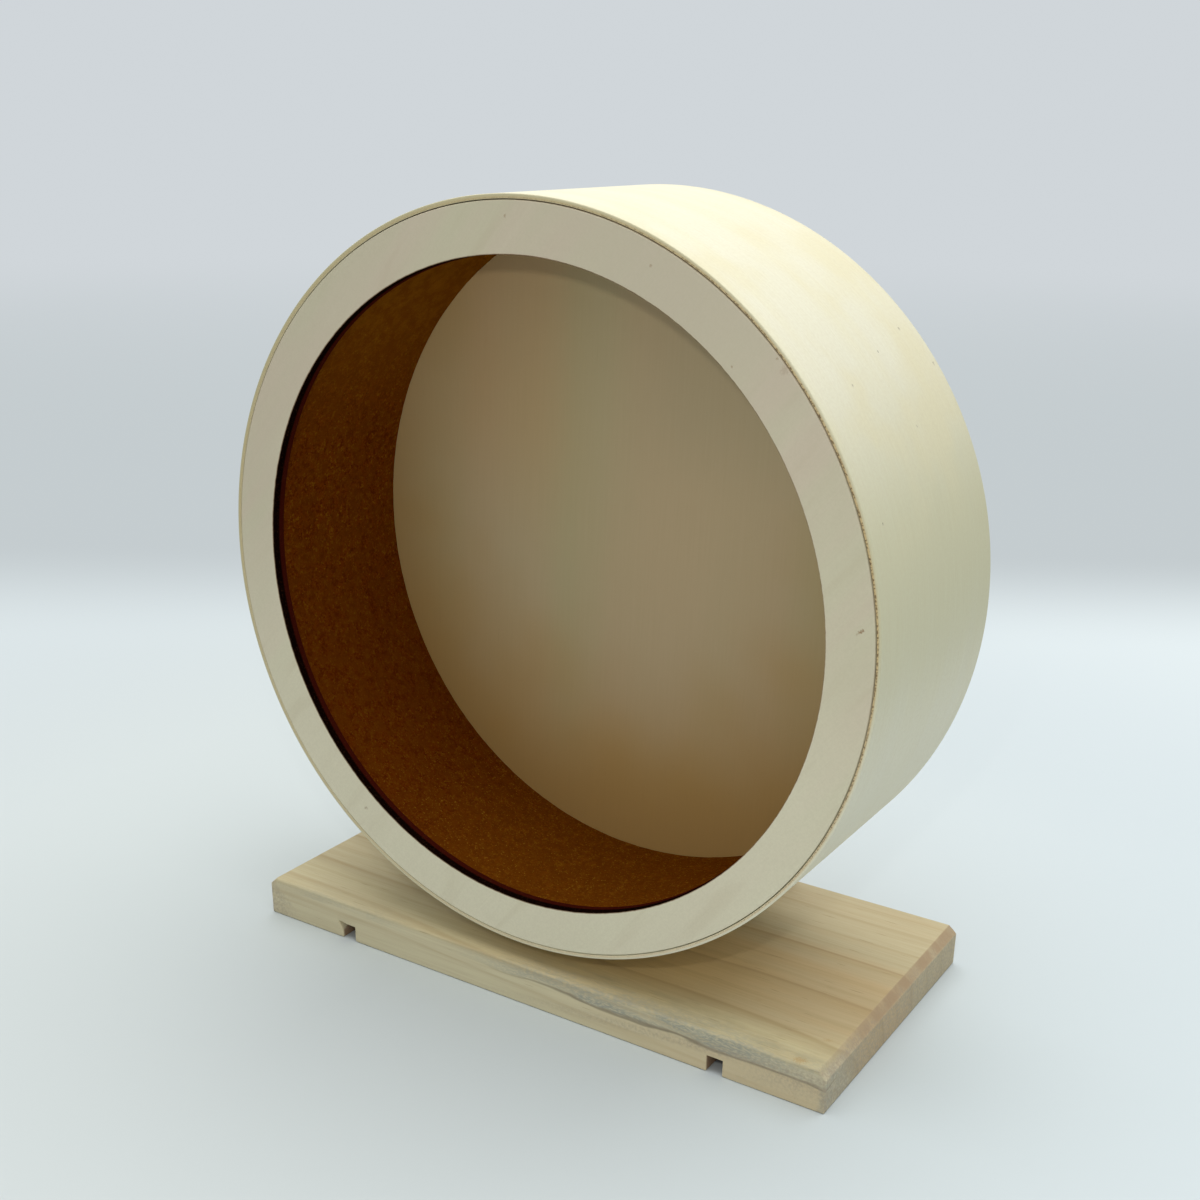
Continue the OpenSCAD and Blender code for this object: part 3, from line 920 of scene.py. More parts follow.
def cork_material():
    """Pressed cork: dark to golden granules with olive and pale spots, painted light that makes it more
    golden at top and bottom, and painted shade below the axle.
    """
    finish = Finish("cork", Specular_IOR_Level=0.0)
    hue = colours()
    vector = finish.vector
    up = split(vector)[2]

    def at_height(low, high, *reached):
        """Ramp between two heights above the axle."""
        return ranged(up, AXLE_HEIGHT + low, AXLE_HEIGHT + high, *reached)

    cork = grouped("Cork Granules", Vector=vector, Granule=sizes().cork_granule)
    tone = cork["Tone"] + ranged(noise(vector, 45.0), 0.3, 0.7, -0.06, 0.06)
    tone = tone + ranged(noise(vector, 300.0, 3.0, 0.6), 0.36, 0.64, -0.34, 0.22)
    # Painted light: more golden towards the top and the bottom
    golden = at_height(-0.105, -0.138, 0.0, 0.32) + at_height(0.03, 0.11, 0.0, 0.8)
    # Painted shade on the lower part, from just below the axle to near the bottom
    painted_low_shade = at_height(-0.01, -0.06, 0.0, 0.28) * at_height(-0.135, -0.105)
    pale = ranged(noise(vector, 1300.0), 0.61, 0.72) * at_height(-0.08, -0.13, 0.4, 1.0)
    colour = over(
        mixed(ranged(tone, 0.05, 0.45), hue.cork_dark, hue.cork),
        (ranged(tone, 0.72, 1.0), hue.cork_gold),
        (cork["Gap"] * 0.7, hue.cork_dark),
        (cork["Bark"] * 0.85, "cork bark"),
        (golden, hue.cork_gold),
        (painted_low_shade, hue.cork_dark),
        (ranged(noise(vector, 170.0, 3.0, 0.6), 0.38, 0.62, 0.0, 0.65), "cork olive"),
        (pale, "cork pale"),
    )
    return finish.done(colour, ranged(cork["Tone"], 0.0, 1.0, 0.75, 0.9), cork["Height"], 0.3, 0.0003)


# Late wood of the board: distance from the pith, how far it shades off inwards, and its strength
LATE_WOOD = [
    (24.0, 3.0, 0.25),
    (32.7, 5.0, 0.40),
    (40.0, 2.0, 0.15),
    (45.6, 5.0, 0.55),
    (55.0, 3.0, 0.20),
    (66.8, 9.0, 0.60),
    (72.0, 3.0, 0.15),
    (81.0, 4.0, 0.22),
    (97.3, 10.0, 0.65),
    (104.0, 3.0, 0.20),
    (114.0, 6.0, 0.28),
    (128.0, 6.0, 0.35),
    (139.0, 5.0, 0.25),
]


def late_wood(radius):
    """Sum of the late wood lines: each rises from the pith's side and ends within 0.9 mm."""
    total = 0.0
    for reach, shade, strength in LATE_WOOD:
        soft = ranged(radius, (reach - shade) * MM, reach * MM, 0.0, 0.5 * strength)
        crisp = ranged(radius, (reach - 1.6) * MM, reach * MM, 0.0, 0.5 * strength)
        total = total + (soft + crisp) * ranged(radius, reach * MM, (reach + 0.9) * MM, 1.0, 0.0)
    return total


# Place along X and Y, length, width and strength of the resin spots on the board
RESIN_SPOTS = [(127.0, -63.6, 3.6, 2.3, 0.5), (130.0, -46.0, 2.4, 1.2, 0.3), (95.0, -35.0, 2.4, 1.4, 0.12)]


def pine_material():
    """Planed pine: growth rings about a pith below the front edge, sapwood, blue stain and resin spots."""
    finish = Finish("pine", Specular_IOR_Level=0.3)
    hue = colours()
    vector = finish.vector
    low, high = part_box("base_board")
    front = low.y
    x, y, z = split(vector)
    radius, broad, fibres = grouped(
        "Pine Figure", Vector=vector, Pith=(0.0, front - 0.009, -0.015), Tilt=0.046, Warp=0.014
    ).values()
    late = late_wood(radius)
    end = finish.mark("end")
    on_top = ranged(z, high.z - 0.0025, high.z - 0.0005)
    wander = ranged(broad, 0.3, 0.7, -0.010, 0.010, smooth=False)
    sapwood = ranged(y + wander, front + 0.028, front + 0.008)
    sap_colour = mixed(on_top, hue.pine_pale, "pine sapwood on top")
    heart = ranged(radius, 0.034, 0.062) * (1.0 - ranged(radius, 0.080, 0.105))
    heart = heart * ranged(x, -0.12, 0.03, 0.2, 1.0)
    streaked = calc("ADD", heart, ranged(broad, 0.3, 0.7, -0.3, 0.3), clamp=True)
    # Painted warm shade on the board's top, in the wheel's shadow
    golden = ranged(reach_about(vector, (-0.02, 0.025, 0.0), (0.7, 1, 0)), 0.065, 0.01, 0.0, 0.72)
    dashes = noise(mapped(vector, Scale=(75.0, 1500.0, 1500.0)), 1.0, 1.0)
    smudges = noise(mapped(vector, Scale=(60.0, 210.0, 210.0)), 1.0, 3.0, 0.6)
    smudges = ranged(smudges, 0.42, 0.66, 0.0, 0.5) * ranged(y, front + 0.024, front + 0.006)
    smudges = smudges * ranged(x, -0.02, 0.05) * on_top
    below = ranged(z, 0.0120, 0.0100) * ranged(x, -0.01, 0.11, 0.0, 0.6)
    below = below * ranged(y, front + 0.004, front + 0.001)
    stain, line = stain_masks(vector, x, y, z, low, high)
    colour = over(
        mixed(streaked, hue.pine, hue.pine_warm),
        (sapwood, sap_colour),
        (ranged(x, -0.02, -0.12, 0.0, 0.45), "pine left"),
        (golden * on_top, "pine painted warm shade"),
        (late * ranged(end, 0.0, 1.0, 0.86, 0.45), hue.pine_late),
        (ranged(fibres, 0.3, 0.8, 0.0, 0.28), "pine fibre"),
        (ranged(dashes, 0.69, 0.79, 0.0, 0.6), "pine dash"),
        (smudges, "pine smudge"),
        (below, "pine below stain"),
        # Painted shade inside the grooves
        (groove_painted_shade(x, y, z), "pine painted groove shade"),
        (stain, hue.blue_stain),
        (line, "pine stain line"),
    )
    flat = mapped(vector, Rotation=(math.radians(90), 0.0, 0.0))
    colour = flecked(colour, flat, "pine resin", [
        ((along * MM, -high.z, behind * MM), 0.2, long, wide, strength)
        for along, behind, long, wide, strength in RESIN_SPOTS
    ])
    end_colour = over(
        colour,
        (ranged(noise(vector, 800.0, 4.0, 0.7), 0.36, 0.68, 0.1, 0.95), "pine end grain"),
        (late * 0.22, "pine end rings"),
    )
    bevel = ranged(abs(x), high.x - 0.0038, high.x - 0.0032) * ranged(z, high.z - 0.0038, high.z - 0.0030)
    planed = noise(mapped(vector, Scale=(60.0, 130.0, 60.0)), 1.0, 3.0, 0.6)
    patchy = ranged(planed, 0.3, 0.62, 0.45, 1.0) * ranged(y, front + 0.004, front + 0.055, 0.2, 0.9)
    rub = grouped("Edge Rub", Vector=vector, Edge=finish.mark("edge"), Amount=0.55, Scale=420.0)["Mask"]
    colour = over(
        colour,
        (end, end_colour),
        (bevel * patchy, "pine bevel"),
        (rub * 0.12, "pine rubbed"),
    )
    return finish.done(colour, ranged(fibres, 0.2, 0.8, 0.55, 0.72), fibres, 0.3, 0.00015)


def groove_painted_shade(x, y, z):
    """Painted shade on the walls and ceilings of the two grooves, placed from the board's own corners."""
    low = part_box("base_board")[0]
    near, far, top = groove_corners(node_points("base_board"), low)
    half = (far - near) / 2
    across = ranged(abs(abs(x) - (near + far) / 2), half + 0.3 * MM, half + 0.1 * MM)
    walls = across * ranged(z, top + 0.4 * MM, top + 0.2 * MM)
    return walls * ranged(y, low.y + 0.2 * MM, low.y + 1.2 * MM) * 0.8


def stain_masks(vector, x, y, z, low, high):
    """Grey-blue stain on the right half of the front face, and the dark line under it.

    The stain goes round the right corner, and a fainter patch lies near the front face's left end.
    """
    slow = noise(mapped(vector, Scale=(90.0, 420.0, 420.0)), 0.4)
    specks = noise(mapped(vector, Scale=(500, 1500, 1500)), 1.0)
    height = z + x * 0.012 + ranged(slow, 0.3, 0.7, -0.0012, 0.0012, smooth=False)
    on_face = ranged(height, 0.0119, 0.0129) * ranged(z, high.z + 0.0030, high.z - 0.0020)
    right = ranged(x, -0.05, 0.045) * ranged(x, 0.10, 0.125, 1.0, 0.65)
    left = ranged(x, -0.13, -0.11) * ranged(x, -0.05, -0.08, 0.0, 0.3)
    onto_top = y + ranged(slow, 0.3, 0.7, -0.004, 0.004, smooth=False)
    near = ranged(onto_top, low.y + 0.015, low.y - 0.001)
    zone = on_face * (calc("MAXIMUM", right, left) * near)
    corner = ranged(x, high.x - 0.0035, high.x - 0.0005) * ranged(y, low.y + 0.040, low.y + 0.002)
    zone = calc("MAXIMUM", zone, corner * 0.75)
    mottled = ranged(slow, 0.3, 0.58, 0.3, 1.0) * ranged(specks, 0.35, 0.6, 0.35, 1.0)
    line = ranged(height, 0.0111, 0.0120) * ranged(height, 0.0132, 0.0121)
    return zone * mottled, line * (ranged(x, -0.04, 0.04, 0.0, 0.85) * near)


def metal_material(name, colour, smooth, rough, cloud="metal cloud"):
    """Bare or plated metal."""
    finish = Finish(name, Metallic=1.0)
    made = grouped("Metal Finish", Vector=finish.vector, Smooth=smooth, Rough=rough)
    toned = mixed(ranged(made["Tone"], 0.35, 0.7, 0.0, 0.5), colour, cloud)
    return finish.done(toned, made["Roughness"], made["Height"], 0.1, 0.00002)


def nylon_material():
    """Moulded insert of the lock nut."""
    finish = Finish("nylon")
    cloud = noise(finish.vector, 900.0, 3.0)
    colour = mixed(ranged(cloud, 0.3, 0.7, 0.0, 0.4), colours().nylon, "nylon cloud")
    return finish.done(colour, ranged(cloud, 0.3, 0.7, 0.35, 0.5), cloud, 0.15, 0.00005)


def shared(name, make, *values):
    """The material if it is there, or else a new one."""
    build_effects()
    return bpy.data.materials.get(name) or make(*values)


def metal(name, *values):
    """A metal's shared material."""
    return shared(name, metal_material, name, *values)


def zinc_finish():
    """Plated fasteners."""
    return metal("zinc_plate", colours().zinc, 0.25, 0.42)


# Pieces

class WHEEL_OT_rim_band(Operator):
    """Bent veneer band with softened edges"""

    bl_idname = "exercise_wheel.rim_band"
    bl_label = "Bent Band"

    def execute(self, context):
        size = sizes()
        inner, outer = radii("rim_band")
        front, back = depths("rim_band")
        corners = square_section(inner, outer, front, back)
        outline = refined(rounded(corners, size.band_round), step=4 * MM, hold=0.4 * MM)
        angles = even_turn(size.turn_steps) - FULL_TURN / 4

        def wandering(radius, depth, angle):
            """Lets the radius sink by a slow wave, and the front edge by a slower one."""
            sunk = size.band_wave * (0.5 + 0.5 * ripple(angle, depth, seed=11, waves=9, pitch=0.4))
            nearer = ramp(back - depth, back - front)
            slower = ripple(angle, depth * 0, seed=12, waves=7, pitch=1.0)
            drawn = 0.5 * size.band_wave * (1 + slower) * nearer
            middle = (inner + outer) / 2
            return np.where(radius > middle, radius - sunk, radius), depth + drawn

        grid = turned(outline, angles, wandering)
        run = np.append(angles, angles[0] + FULL_TURN) * outer
        radius, depth = outline.T
        across = np.append(depth, depth[0])
        front_face = np.exp(-np.clip(depth - front, 0, None) / (0.3 * MM))
        back_face = np.exp(-np.clip(back - depth, 0, None) / (0.3 * MM))
        inside = ramp(inner + 1.1 * MM - radius, 0.3 * MM)
        at_gap = ramp(inner + 0.7 * MM - radius, 0.6 * MM)
        side = np.sin(angles) * 0.5 + 0.5
        olive = np.clip(0.58 + 0.3 * np.sin(angles) - 0.38 * np.cos(angles), 0, 1)
        brown = 0.45 + 0.55 * np.cos(angles / 2 - 0.15) ** 8
        piece = add_surface(
            "bent_band",
            grid,
            shared("bent_veneer", band_material),
            uv=(run, across),
            marks={
                "rim": np.maximum(front_face, back_face)[:, None] * olive[None],
                "inner_rim": (front_face * inside)[:, None] * brown[None],
                "scorch": (front_face * at_gap)[:, None] * (0.42 - 0.25 * side)[None],
            },
        )
        stand_for(piece, "wheel", "rim_band")
        return {"FINISHED"}


class WHEEL_OT_front_ring(Operator):
    """Flat front ring with a burnt mouth and a dark joint inside the band"""

    bl_idname = "exercise_wheel.front_ring"
    bl_label = "Front Ring"

    def execute(self, context):
        size = sizes()
        mouth, fitted = radii("front_ring")
        front, back = depths("front_ring")
        corners = [
            (mouth, front),
            (fitted - size.ring_gap_width, front),
            (fitted - 0.02 * MM, front + size.ring_gap_depth),
            (fitted - 0.02 * MM, back),
            (mouth, back),
        ]
        rounds = [size.ring_round, size.ring_round, 0.1 * MM, 0.1 * MM, size.ring_round]
        outline = refined(rounded(corners, rounds), step=2 * MM, hold=0.3 * MM)
        angles = even_turn(size.turn_steps)
        radius, depth = outline.T
        on_mouth = ramp(mouth + 0.7 * MM - radius, 0.7 * MM)
        deep = ramp(depth - front, 0.5 * MM)
        in_gap = ramp(radius - fitted + size.ring_gap_width, 0.3 * MM)
        burnt_mouth = (on_mouth * (0.72 + 0.28 * deep))[:, None]
        burnt_gap = in_gap[:, None] * (0.6 + 0.25 * np.sin(angles))
        piece = add_surface(
            "front_ring_piece",
            turned(outline, angles),
            shared("ring_veneer", ring_material),
            marks={"scorch": np.maximum(burnt_mouth, burnt_gap)},
        )
        stand_for(piece, "wheel", "front_ring")
        return {"FINISHED"}


class WHEEL_OT_cork_track(Operator):
    """Cork running track with raised granules"""

    bl_idname = "exercise_wheel.cork_track"
    bl_label = "Cork Track"

    def execute(self, context):
        size = sizes()
        inner, outer = radii("cork_track")
        front, back = depths("cork_track")
        corners = square_section(inner, outer, front, back)
        outline = refined(rounded(corners, 0.3 * MM, steps=2), step=1.25 * MM, hold=0.3 * MM)
        # The hidden outer side keeps every eighth point
        keep = (outline[:, 0] < outer - 0.5 * MM) | (np.arange(len(outline)) % 8 == 0)
        outline = outline[keep]

        def granular(radius, depth, angle):
            """Sinks the running face by a random lattice of granules."""
            across = (depth - front) / (back - front)
            rough = lumps(across, angle / FULL_TURN, seed=21, rows=34, columns=size.turn_steps // 2)
            slow = lumps(across, angle / FULL_TURN, seed=22, rows=7, columns=60)
            sink = size.cork_lump * (0.75 * rough + 0.25 * slow)
            return np.where(radius < inner + 0.5 * MM, radius + sink, radius), depth

        grid = turned(outline, even_turn(size.turn_steps), granular)
        piece = add_surface("cork_lining", grid, shared("cork", cork_material))
        stand_for(piece, "wheel", "cork_track")
        return {"FINISHED"}


class WHEEL_OT_back_wall(Operator):
    """Plain inner facing and the plywood panel behind it"""

    bl_idname = "exercise_wheel.back_wall"
    bl_label = "Back Wall"

    def execute(self, context):
        size = sizes()
        dress("inner_facing", shared("facing_veneer", facing_material))
        bore, fitted = radii("rear_panel")
        front, back = depths("rear_panel")
        rounds = [size.plate_round, 0.1 * MM, size.plate_round, size.plate_round]
        corners = square_section(bore, fitted, front, back)
        outline = refined(rounded(corners, rounds), step=3 * MM, hold=0.3 * MM)
        near_cut = ramp(outline[:, 0] - fitted + 0.6 * MM, 0.6 * MM)
        piece = add_surface(
            "back_panel",
            turned(outline, even_turn(360)),
            shared("panel_plywood", plywood_material, "panel_plywood", 90, front),
            marks={"side": near_cut[:, None], "scorch": near_cut[:, None] * 0.8},
        )
        stand_for(piece, "wheel", "rear_panel")
        return {"FINISHED"}


class WHEEL_OT_hub(Operator):
    """Plywood hub disc behind the back panel, and its screws"""

    bl_idname = "exercise_wheel.hub"
    bl_label = "Hub"

    def execute(self, context):
        front = depths("hub_disc")[0]
        dress("hub_disc", shared("hub_plywood", plywood_material, "hub_plywood", 12, front, False))
        dress("hub_screws", zinc_finish())
        return {"FINISHED"}


class WHEEL_OT_bearings(Operator):
    """Finishes of the two ball bearings and the tubes between their inner races"""

    bl_idname = "exercise_wheel.bearings"
    bl_label = "Bearings"

    def execute(self, context):
        hue = colours()
        steel = metal("bearing_steel", hue.steel, 0.12, 0.28)
        finishes = {
            "outer_race": steel,
            "inner_race": steel,
            "balls": metal("ball_steel", hue.steel, 0.04, 0.1),
            "shields": metal("shield_steel", hue.zinc, 0.3, 0.5),
            "cage": metal("cage_brass", "brass", 0.25, 0.4, "brass cloud"),
        }
        for part, finish in finishes.items():
            dress(f"front_{part}", finish)
            dress(f"rear_{part}", finish)
        for node in ("race_washer", "race_tube", "hub_spacer"):
            dress(node, steel)
        return {"FINISHED"}


class WHEEL_OT_base_board(Operator):
    """Planed pine base board with bevelled ends, grooves underneath and worn edges"""

    bl_idname = "exercise_wheel.base_board"
    bl_label = "Base Board"

    def execute(self, context):
        size = sizes()
        low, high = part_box("base_board")
        points = node_points("base_board")
        bevel = high.x - points[points[:, 2] > high.z - 0.01 * MM][:, 0].max()
        corners = board_corners(low, high, bevel, groove_corners(points, low))
        grid, marks = board_grid(corners, low, high, size)
        piece = add_surface(
            "pine_board", grid, shared("pine", pine_material), close_rows=False, caps=True, marks=marks
        )
        stand_for(piece, "stand", "base_board")
        dress("base_screws", zinc_finish())
        return {"FINISHED"}


def groove_corners(points, low):
    """Near and far wall of the groove on the positive side, and its ceiling, from the board's own corners."""
    in_front = points[np.abs(points[:, 1] - low.y) < 0.01 * MM]
    raised = (in_front[:, 2] > low.z + 1 * MM) & (in_front[:, 2] < low.z + 12 * MM)
    mid = in_front[raised & (in_front[:, 0] > 0)]
    ceiling = mid[mid[:, 2] < mid[:, 2].min() + 0.01 * MM]
    return ceiling[:, 0].min(), ceiling[:, 0].max(), ceiling[0, 2]


def board_corners(low, high, bevel, groove):
    """Corners of the board's front view as x and z: the bottom with its grooves, then back over the top."""
    near, far, top = groove
    right = np.array([
        (near, low.z),
        (near, top),
        (far, top),
        (far, low.z),
        (high.x, low.z),
        (high.x, high.z - bevel),
        (high.x - bevel, high.z),
    ])
    left = right[::-1] * (-1, 1)
    return np.concatenate([left[2:], right, left[:2]])


def drawn_in(corners, insets):
    """Corners of an outline whose sides each move inwards by their own inset.

    A new corner c lies on both moved sides: n . c = n . p + inset for the inward normals n of the two sides
    that meet at the old corner p.
    """
    side = unit(np.roll(corners, -1, 0) - corners)
    normal = np.stack([-side[:, 1], side[:, 0]], 1)
    both = np.stack([np.roll(normal, 1, 0), normal], 1)
    reach = (both * corners[:, None]).sum(2) + np.stack([np.roll(insets, 1), insets], 1)
    return np.linalg.solve(both, reach[..., None])[..., 0]


def screw_places():
    """Where the base screws stand: their places along X, their common Y, and the radius of their heads."""
    points = node_points("base_screws")
    low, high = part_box("base_screws")
    head = (high.y - low.y) / 2
    middle = (low.y + high.y) / 2
    on_line = points[np.abs(points[:, 1] - low.y) < 0.01 * MM][:, 0]
    return np.unique(np.round(on_line, 4)), middle, head


def with_points(outline, owner, share, wanted, level):
    """Adds points at the wanted x to the long side of an outline that lies at the given height."""
    side = np.roll(outline, -1, 0) - outline
    flat = (np.abs(outline[:, 1] - level) < 0.01 * MM) & (np.abs(side[:, 1]) < 0.01 * MM)
    longest = np.argmax(np.where(flat, np.abs(side[:, 0]), 0))
    extra = (wanted - outline[longest, 0]) / side[longest, 0]
    owner = np.append(owner, np.full(len(extra), longest))
    share = np.append(share, extra)
    order = np.lexsort((share, owner))
    return owner[order], share[order]


def board_grid(corners, low, high, size):
    """The front view carried from front to back, and marks of its edges and ends.

    The left groove's front corner is torn, and the bottom follows the screws' recesses. Each end is drawn in
    along a quarter circle.

    At an angle a of a round of radius r a side moves in by r (1 - sin a) while it goes r (1 - cos a) deep.
    """
    bottom_corners, top_side = 9, 11
    rounds = np.repeat([0.5, 0.3, 0.5, 0.6], [1, bottom_corners - 1, 1, 4]) * MM
    radius = np.full(len(corners), size.board_foot_round)
    radius[bottom_corners:] = 0.9 * MM
    radius[top_side] = size.board_round
    turn = np.linspace(0, np.pi / 2, 8)
    first = rounded(corners, rounds, steps=4)
    owner, share = refining(first, step=2.5 * MM, hold=0.5 * MM)
    holes, hole_depth, head = screw_places()
    close = np.linspace(-1.15, 1.15, 29) * head
    owner, share = with_points(first, owner, share, (holes[:, None] + close).ravel(), low.z)
    ends = []
    for angle in turn:
        moved = rounded(drawn_in(corners, radius * (1 - np.sin(angle))), rounds, steps=4)
        ends.append(moved[owner] + (np.roll(moved, -1, 0)[owner] - moved[owner]) * share[:, None])
    ends = np.array(ends)
    outline = ends[-1]
    x, z = outline.T
    upper = ramp(z - low.z, high.z - low.z)
    on_top, off_bottom = upper > 0.97, upper > 0.02
    deep = np.where(on_top, size.board_round, np.where(off_bottom, 0.6 * MM, size.board_foot_round))
    reach = deep * (1 - np.cos(turn))[:, None]
    rows_at_holes = (hole_depth + close - low.y) / (high.y - low.y)
    middle = np.sort(np.append(np.linspace(0, 1, 42)[1:-1], rows_at_holes))[:, None]
    run = low.y + deep + middle * (high.y - low.y - 2 * deep)
    depth = np.concatenate([low.y + reach, run, high.y - reach[::-1]])
    plane = np.concatenate([ends, np.repeat(outline[None], len(run), 0), ends[::-1]])
    along, height = plane[..., 0], plane[..., 1]
    groove_x, groove_z = corners[2]
    gap = np.hypot(x - groove_x, z - groove_z)
    torn = np.exp(-((gap / (2.4 * MM)) ** 2)) * np.exp(-(((depth - low.y) / (2.6 * MM)) ** 2))
    ragged = 0.75 + 0.4 * np.cos(x / (0.8 * MM)) * np.cos(z / (0.5 * MM) + depth / (0.7 * MM))
    pull = size.torn_corner * torn * ragged
    on_left = (x < groove_x + 1.2 * MM) & (x > groove_x - 6 * MM) & (upper < 0.6)
    along = along - pull * on_left * off_bottom
    height = height + 0.35 * pull * on_left * (upper > 0.3)
    slow = 0.04 * MM * (1 + np.cos(x / (23 * MM) + 1.0) * np.cos(depth / (19 * MM)))
    height = height - np.where(on_top, slow, 0)
    away = np.hypot(along[..., None] - holes, (depth - hole_depth)[..., None]).min(2)
    sink = 0.75 * MM * ramp(head + 0.25 * MM - away, 0.4 * MM)
    sink = sink + np.clip(head - 0.1 * MM - away, 0, 2 * MM)
    height = np.where(off_bottom, height, height + sink)
    grid = np.stack([along, depth, height], 2)
    near_end = np.minimum(depth - low.y, high.y - depth)
    near_corner = nearness(outline, corners, 0.8 * MM)
    edge = np.maximum(np.exp(-near_end / (0.9 * MM)) * off_bottom, near_corner[None])
    end = ramp(np.abs(x) - (high.x - 3.2 * MM), 1.2 * MM)
    return grid, {"edge": edge, "end": end[None]}


class WHEEL_OT_upright(Operator):
    """Plywood upright with a square foot, slanted sides and a round head"""

    bl_idname = "exercise_wheel.upright"
    bl_label = "Upright"

    def execute(self, context):
        size = sizes()
        front, back = depths("upright")
        outline = upright_outline()
        centre = np.array([0.0, AXLE_HEIGHT])
        spoke = unit(outline - centre)
        bore = radii("upright")[0]
        square = inward(outline)
        turn = np.linspace(0, np.pi / 2, 5)[:, None, None]
        inset = size.plate_round * (1 - np.sin(turn))
        share = np.linspace(0, 1, 14)[:, None, None]
        hole = centre + spoke * bore
        rim = outline + square * size.plate_round
        face = hole + (rim - hole) * share
        wrap = outline + square * inset
        wrap_depth = size.plate_round * (1 - np.cos(turn[..., 0]))
        between = np.linspace(0, 1, 6)[1:-1, None]
        walls = np.repeat(outline[None], len(between), 0)
        flat = np.concatenate([face, wrap[1:], walls, wrap[::-1][:-1], face[::-1]])
        depth = np.concatenate([
            np.full((len(face), 1), front),
            front + wrap_depth[1:],
            front + (back - front) * between,
            back - wrap_depth[::-1][:-1],
            np.full((len(face), 1), back),
        ])
        depth = np.broadcast_to(depth, (len(flat), len(outline)))
        grid = np.stack([flat[..., 0], depth, flat[..., 1]], 2)
        on_side = np.zeros(len(flat))
        on_side[len(face) : len(flat) - len(face)] = 1
        piece = add_surface(
            "upright_piece",
            grid,
            shared("upright_plywood", plywood_material, "upright_plywood", 90, front),
            marks={"side": on_side[:, None], "scorch": on_side[:, None] * 0.6},
        )
        stand_for(piece, "stand", "upright")
        return {"FINISHED"}


def upright_outline():
    """Outline of the upright from its own corners: the widest foot, then a tangent up to the round head."""
    low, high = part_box("upright")
    points = node_points("upright")
    head = high.z - AXLE_HEIGHT
    half = high.x
    shoulder = points[np.abs(points[:, 0] - half) < 0.01 * MM][:, 2].max()
    rise = AXLE_HEIGHT - shoulder
    reach = math.hypot(half, rise)
    lean = math.acos(head / reach) - math.atan2(rise, half)
    turn = np.linspace(lean, np.pi - lean, 120)[:, None]
    arc = np.array([0.0, AXLE_HEIGHT]) + head * np.concatenate([np.cos(turn), np.sin(turn)], 1)
    foot = rounded(
        [(half, shoulder), tuple(arc[0]), tuple(arc[-1]), (-half, shoulder), (-half, low.z), (half, low.z)],
        np.array([1.5, 1.0, 1.0, 1.5, 0.5, 0.5]) * MM,
        steps=4,
    )
    per_corner = 5
    right = foot[:per_corner]
    left_and_foot = foot[3 * per_corner :]
    return refined(np.concatenate([right, arc, left_and_foot]), step=3 * MM, hold=0.5 * MM)


class WHEEL_OT_axle(Operator):
    """Threaded axle bolt, tail washer, and lock nut with its insert"""

    bl_idname = "exercise_wheel.axle"
    bl_label = "Axle and Nut"

    def execute(self, context):
        zinc = zinc_finish()
        stand_for(axle_bolt(zinc), "stand", "axle_bolt")
        stand_for(lock_nut(zinc), "stand", "lock_nut")
        stand_for(soft_washer("tail_washer", "tail_washer_piece", zinc, 0.25 * MM), "stand", "tail_washer")
        nylon = shared("nylon", nylon_material)
        stand_for(soft_washer("lock_insert", "nylon_insert", nylon, 0.3 * MM), "stand", "lock_insert")
        return {"FINISHED"}


def axle_bolt(material):
    """Low-headed bolt whose radius drops by the thread's depth times a triangle wave of y / pitch - turns."""
    size = sizes()
    front, back = depths("axle_bolt")
    head = radii("axle_bolt")[1]
    shank = radii("hub_spacer")[0] - 0.03 * MM
    seat = depths("race_washer")[0]
    thread_start = depths("tail_washer")[0]
    bevel = 0.9 * MM
    corners = [
        (0.0, front),
        (head - 0.5 * MM, front),
        (head, front + 0.5 * MM),
        (head, seat),
        (shank, seat),
        (shank, back - bevel),
        (shank - bevel, back),
        (0.0, back),
    ]
    rounds = np.array([0.0, 0.15, 0.15, 0.15, 0.15, 0.15, 0.15, 0.0]) * MM
    outline = refined(rounded(corners, rounds, steps=3), step=0.14 * MM, hold=0.1 * MM)
    outline = outline[outline[:, 0] > 0.001 * MM]
    outline = np.vstack([[0.0, front], outline, [0.0, back]])

    def threaded(radius, depth, angle):
        """Cuts the thread behind the upright, and fades it in over one pitch."""
        phase = (depth / size.thread_pitch - angle / FULL_TURN) % 1.0
        groove = 1 - np.abs(2 * phase - 1)
        on_shank = radius > shank - bevel - 0.05 * MM
        fade = ramp(depth - thread_start, size.thread_pitch) * on_shank
        above_root = np.clip(radius - (shank - size.thread_depth), 0, None)
        cut = np.minimum(size.thread_depth * np.clip(1.25 * groove - 0.12, 0, 1), above_root)
        return radius - cut * fade, depth

    return add_surface(
        "threaded_bolt", turned(outline, even_turn(72), threaded), material, close_rows=False
    )


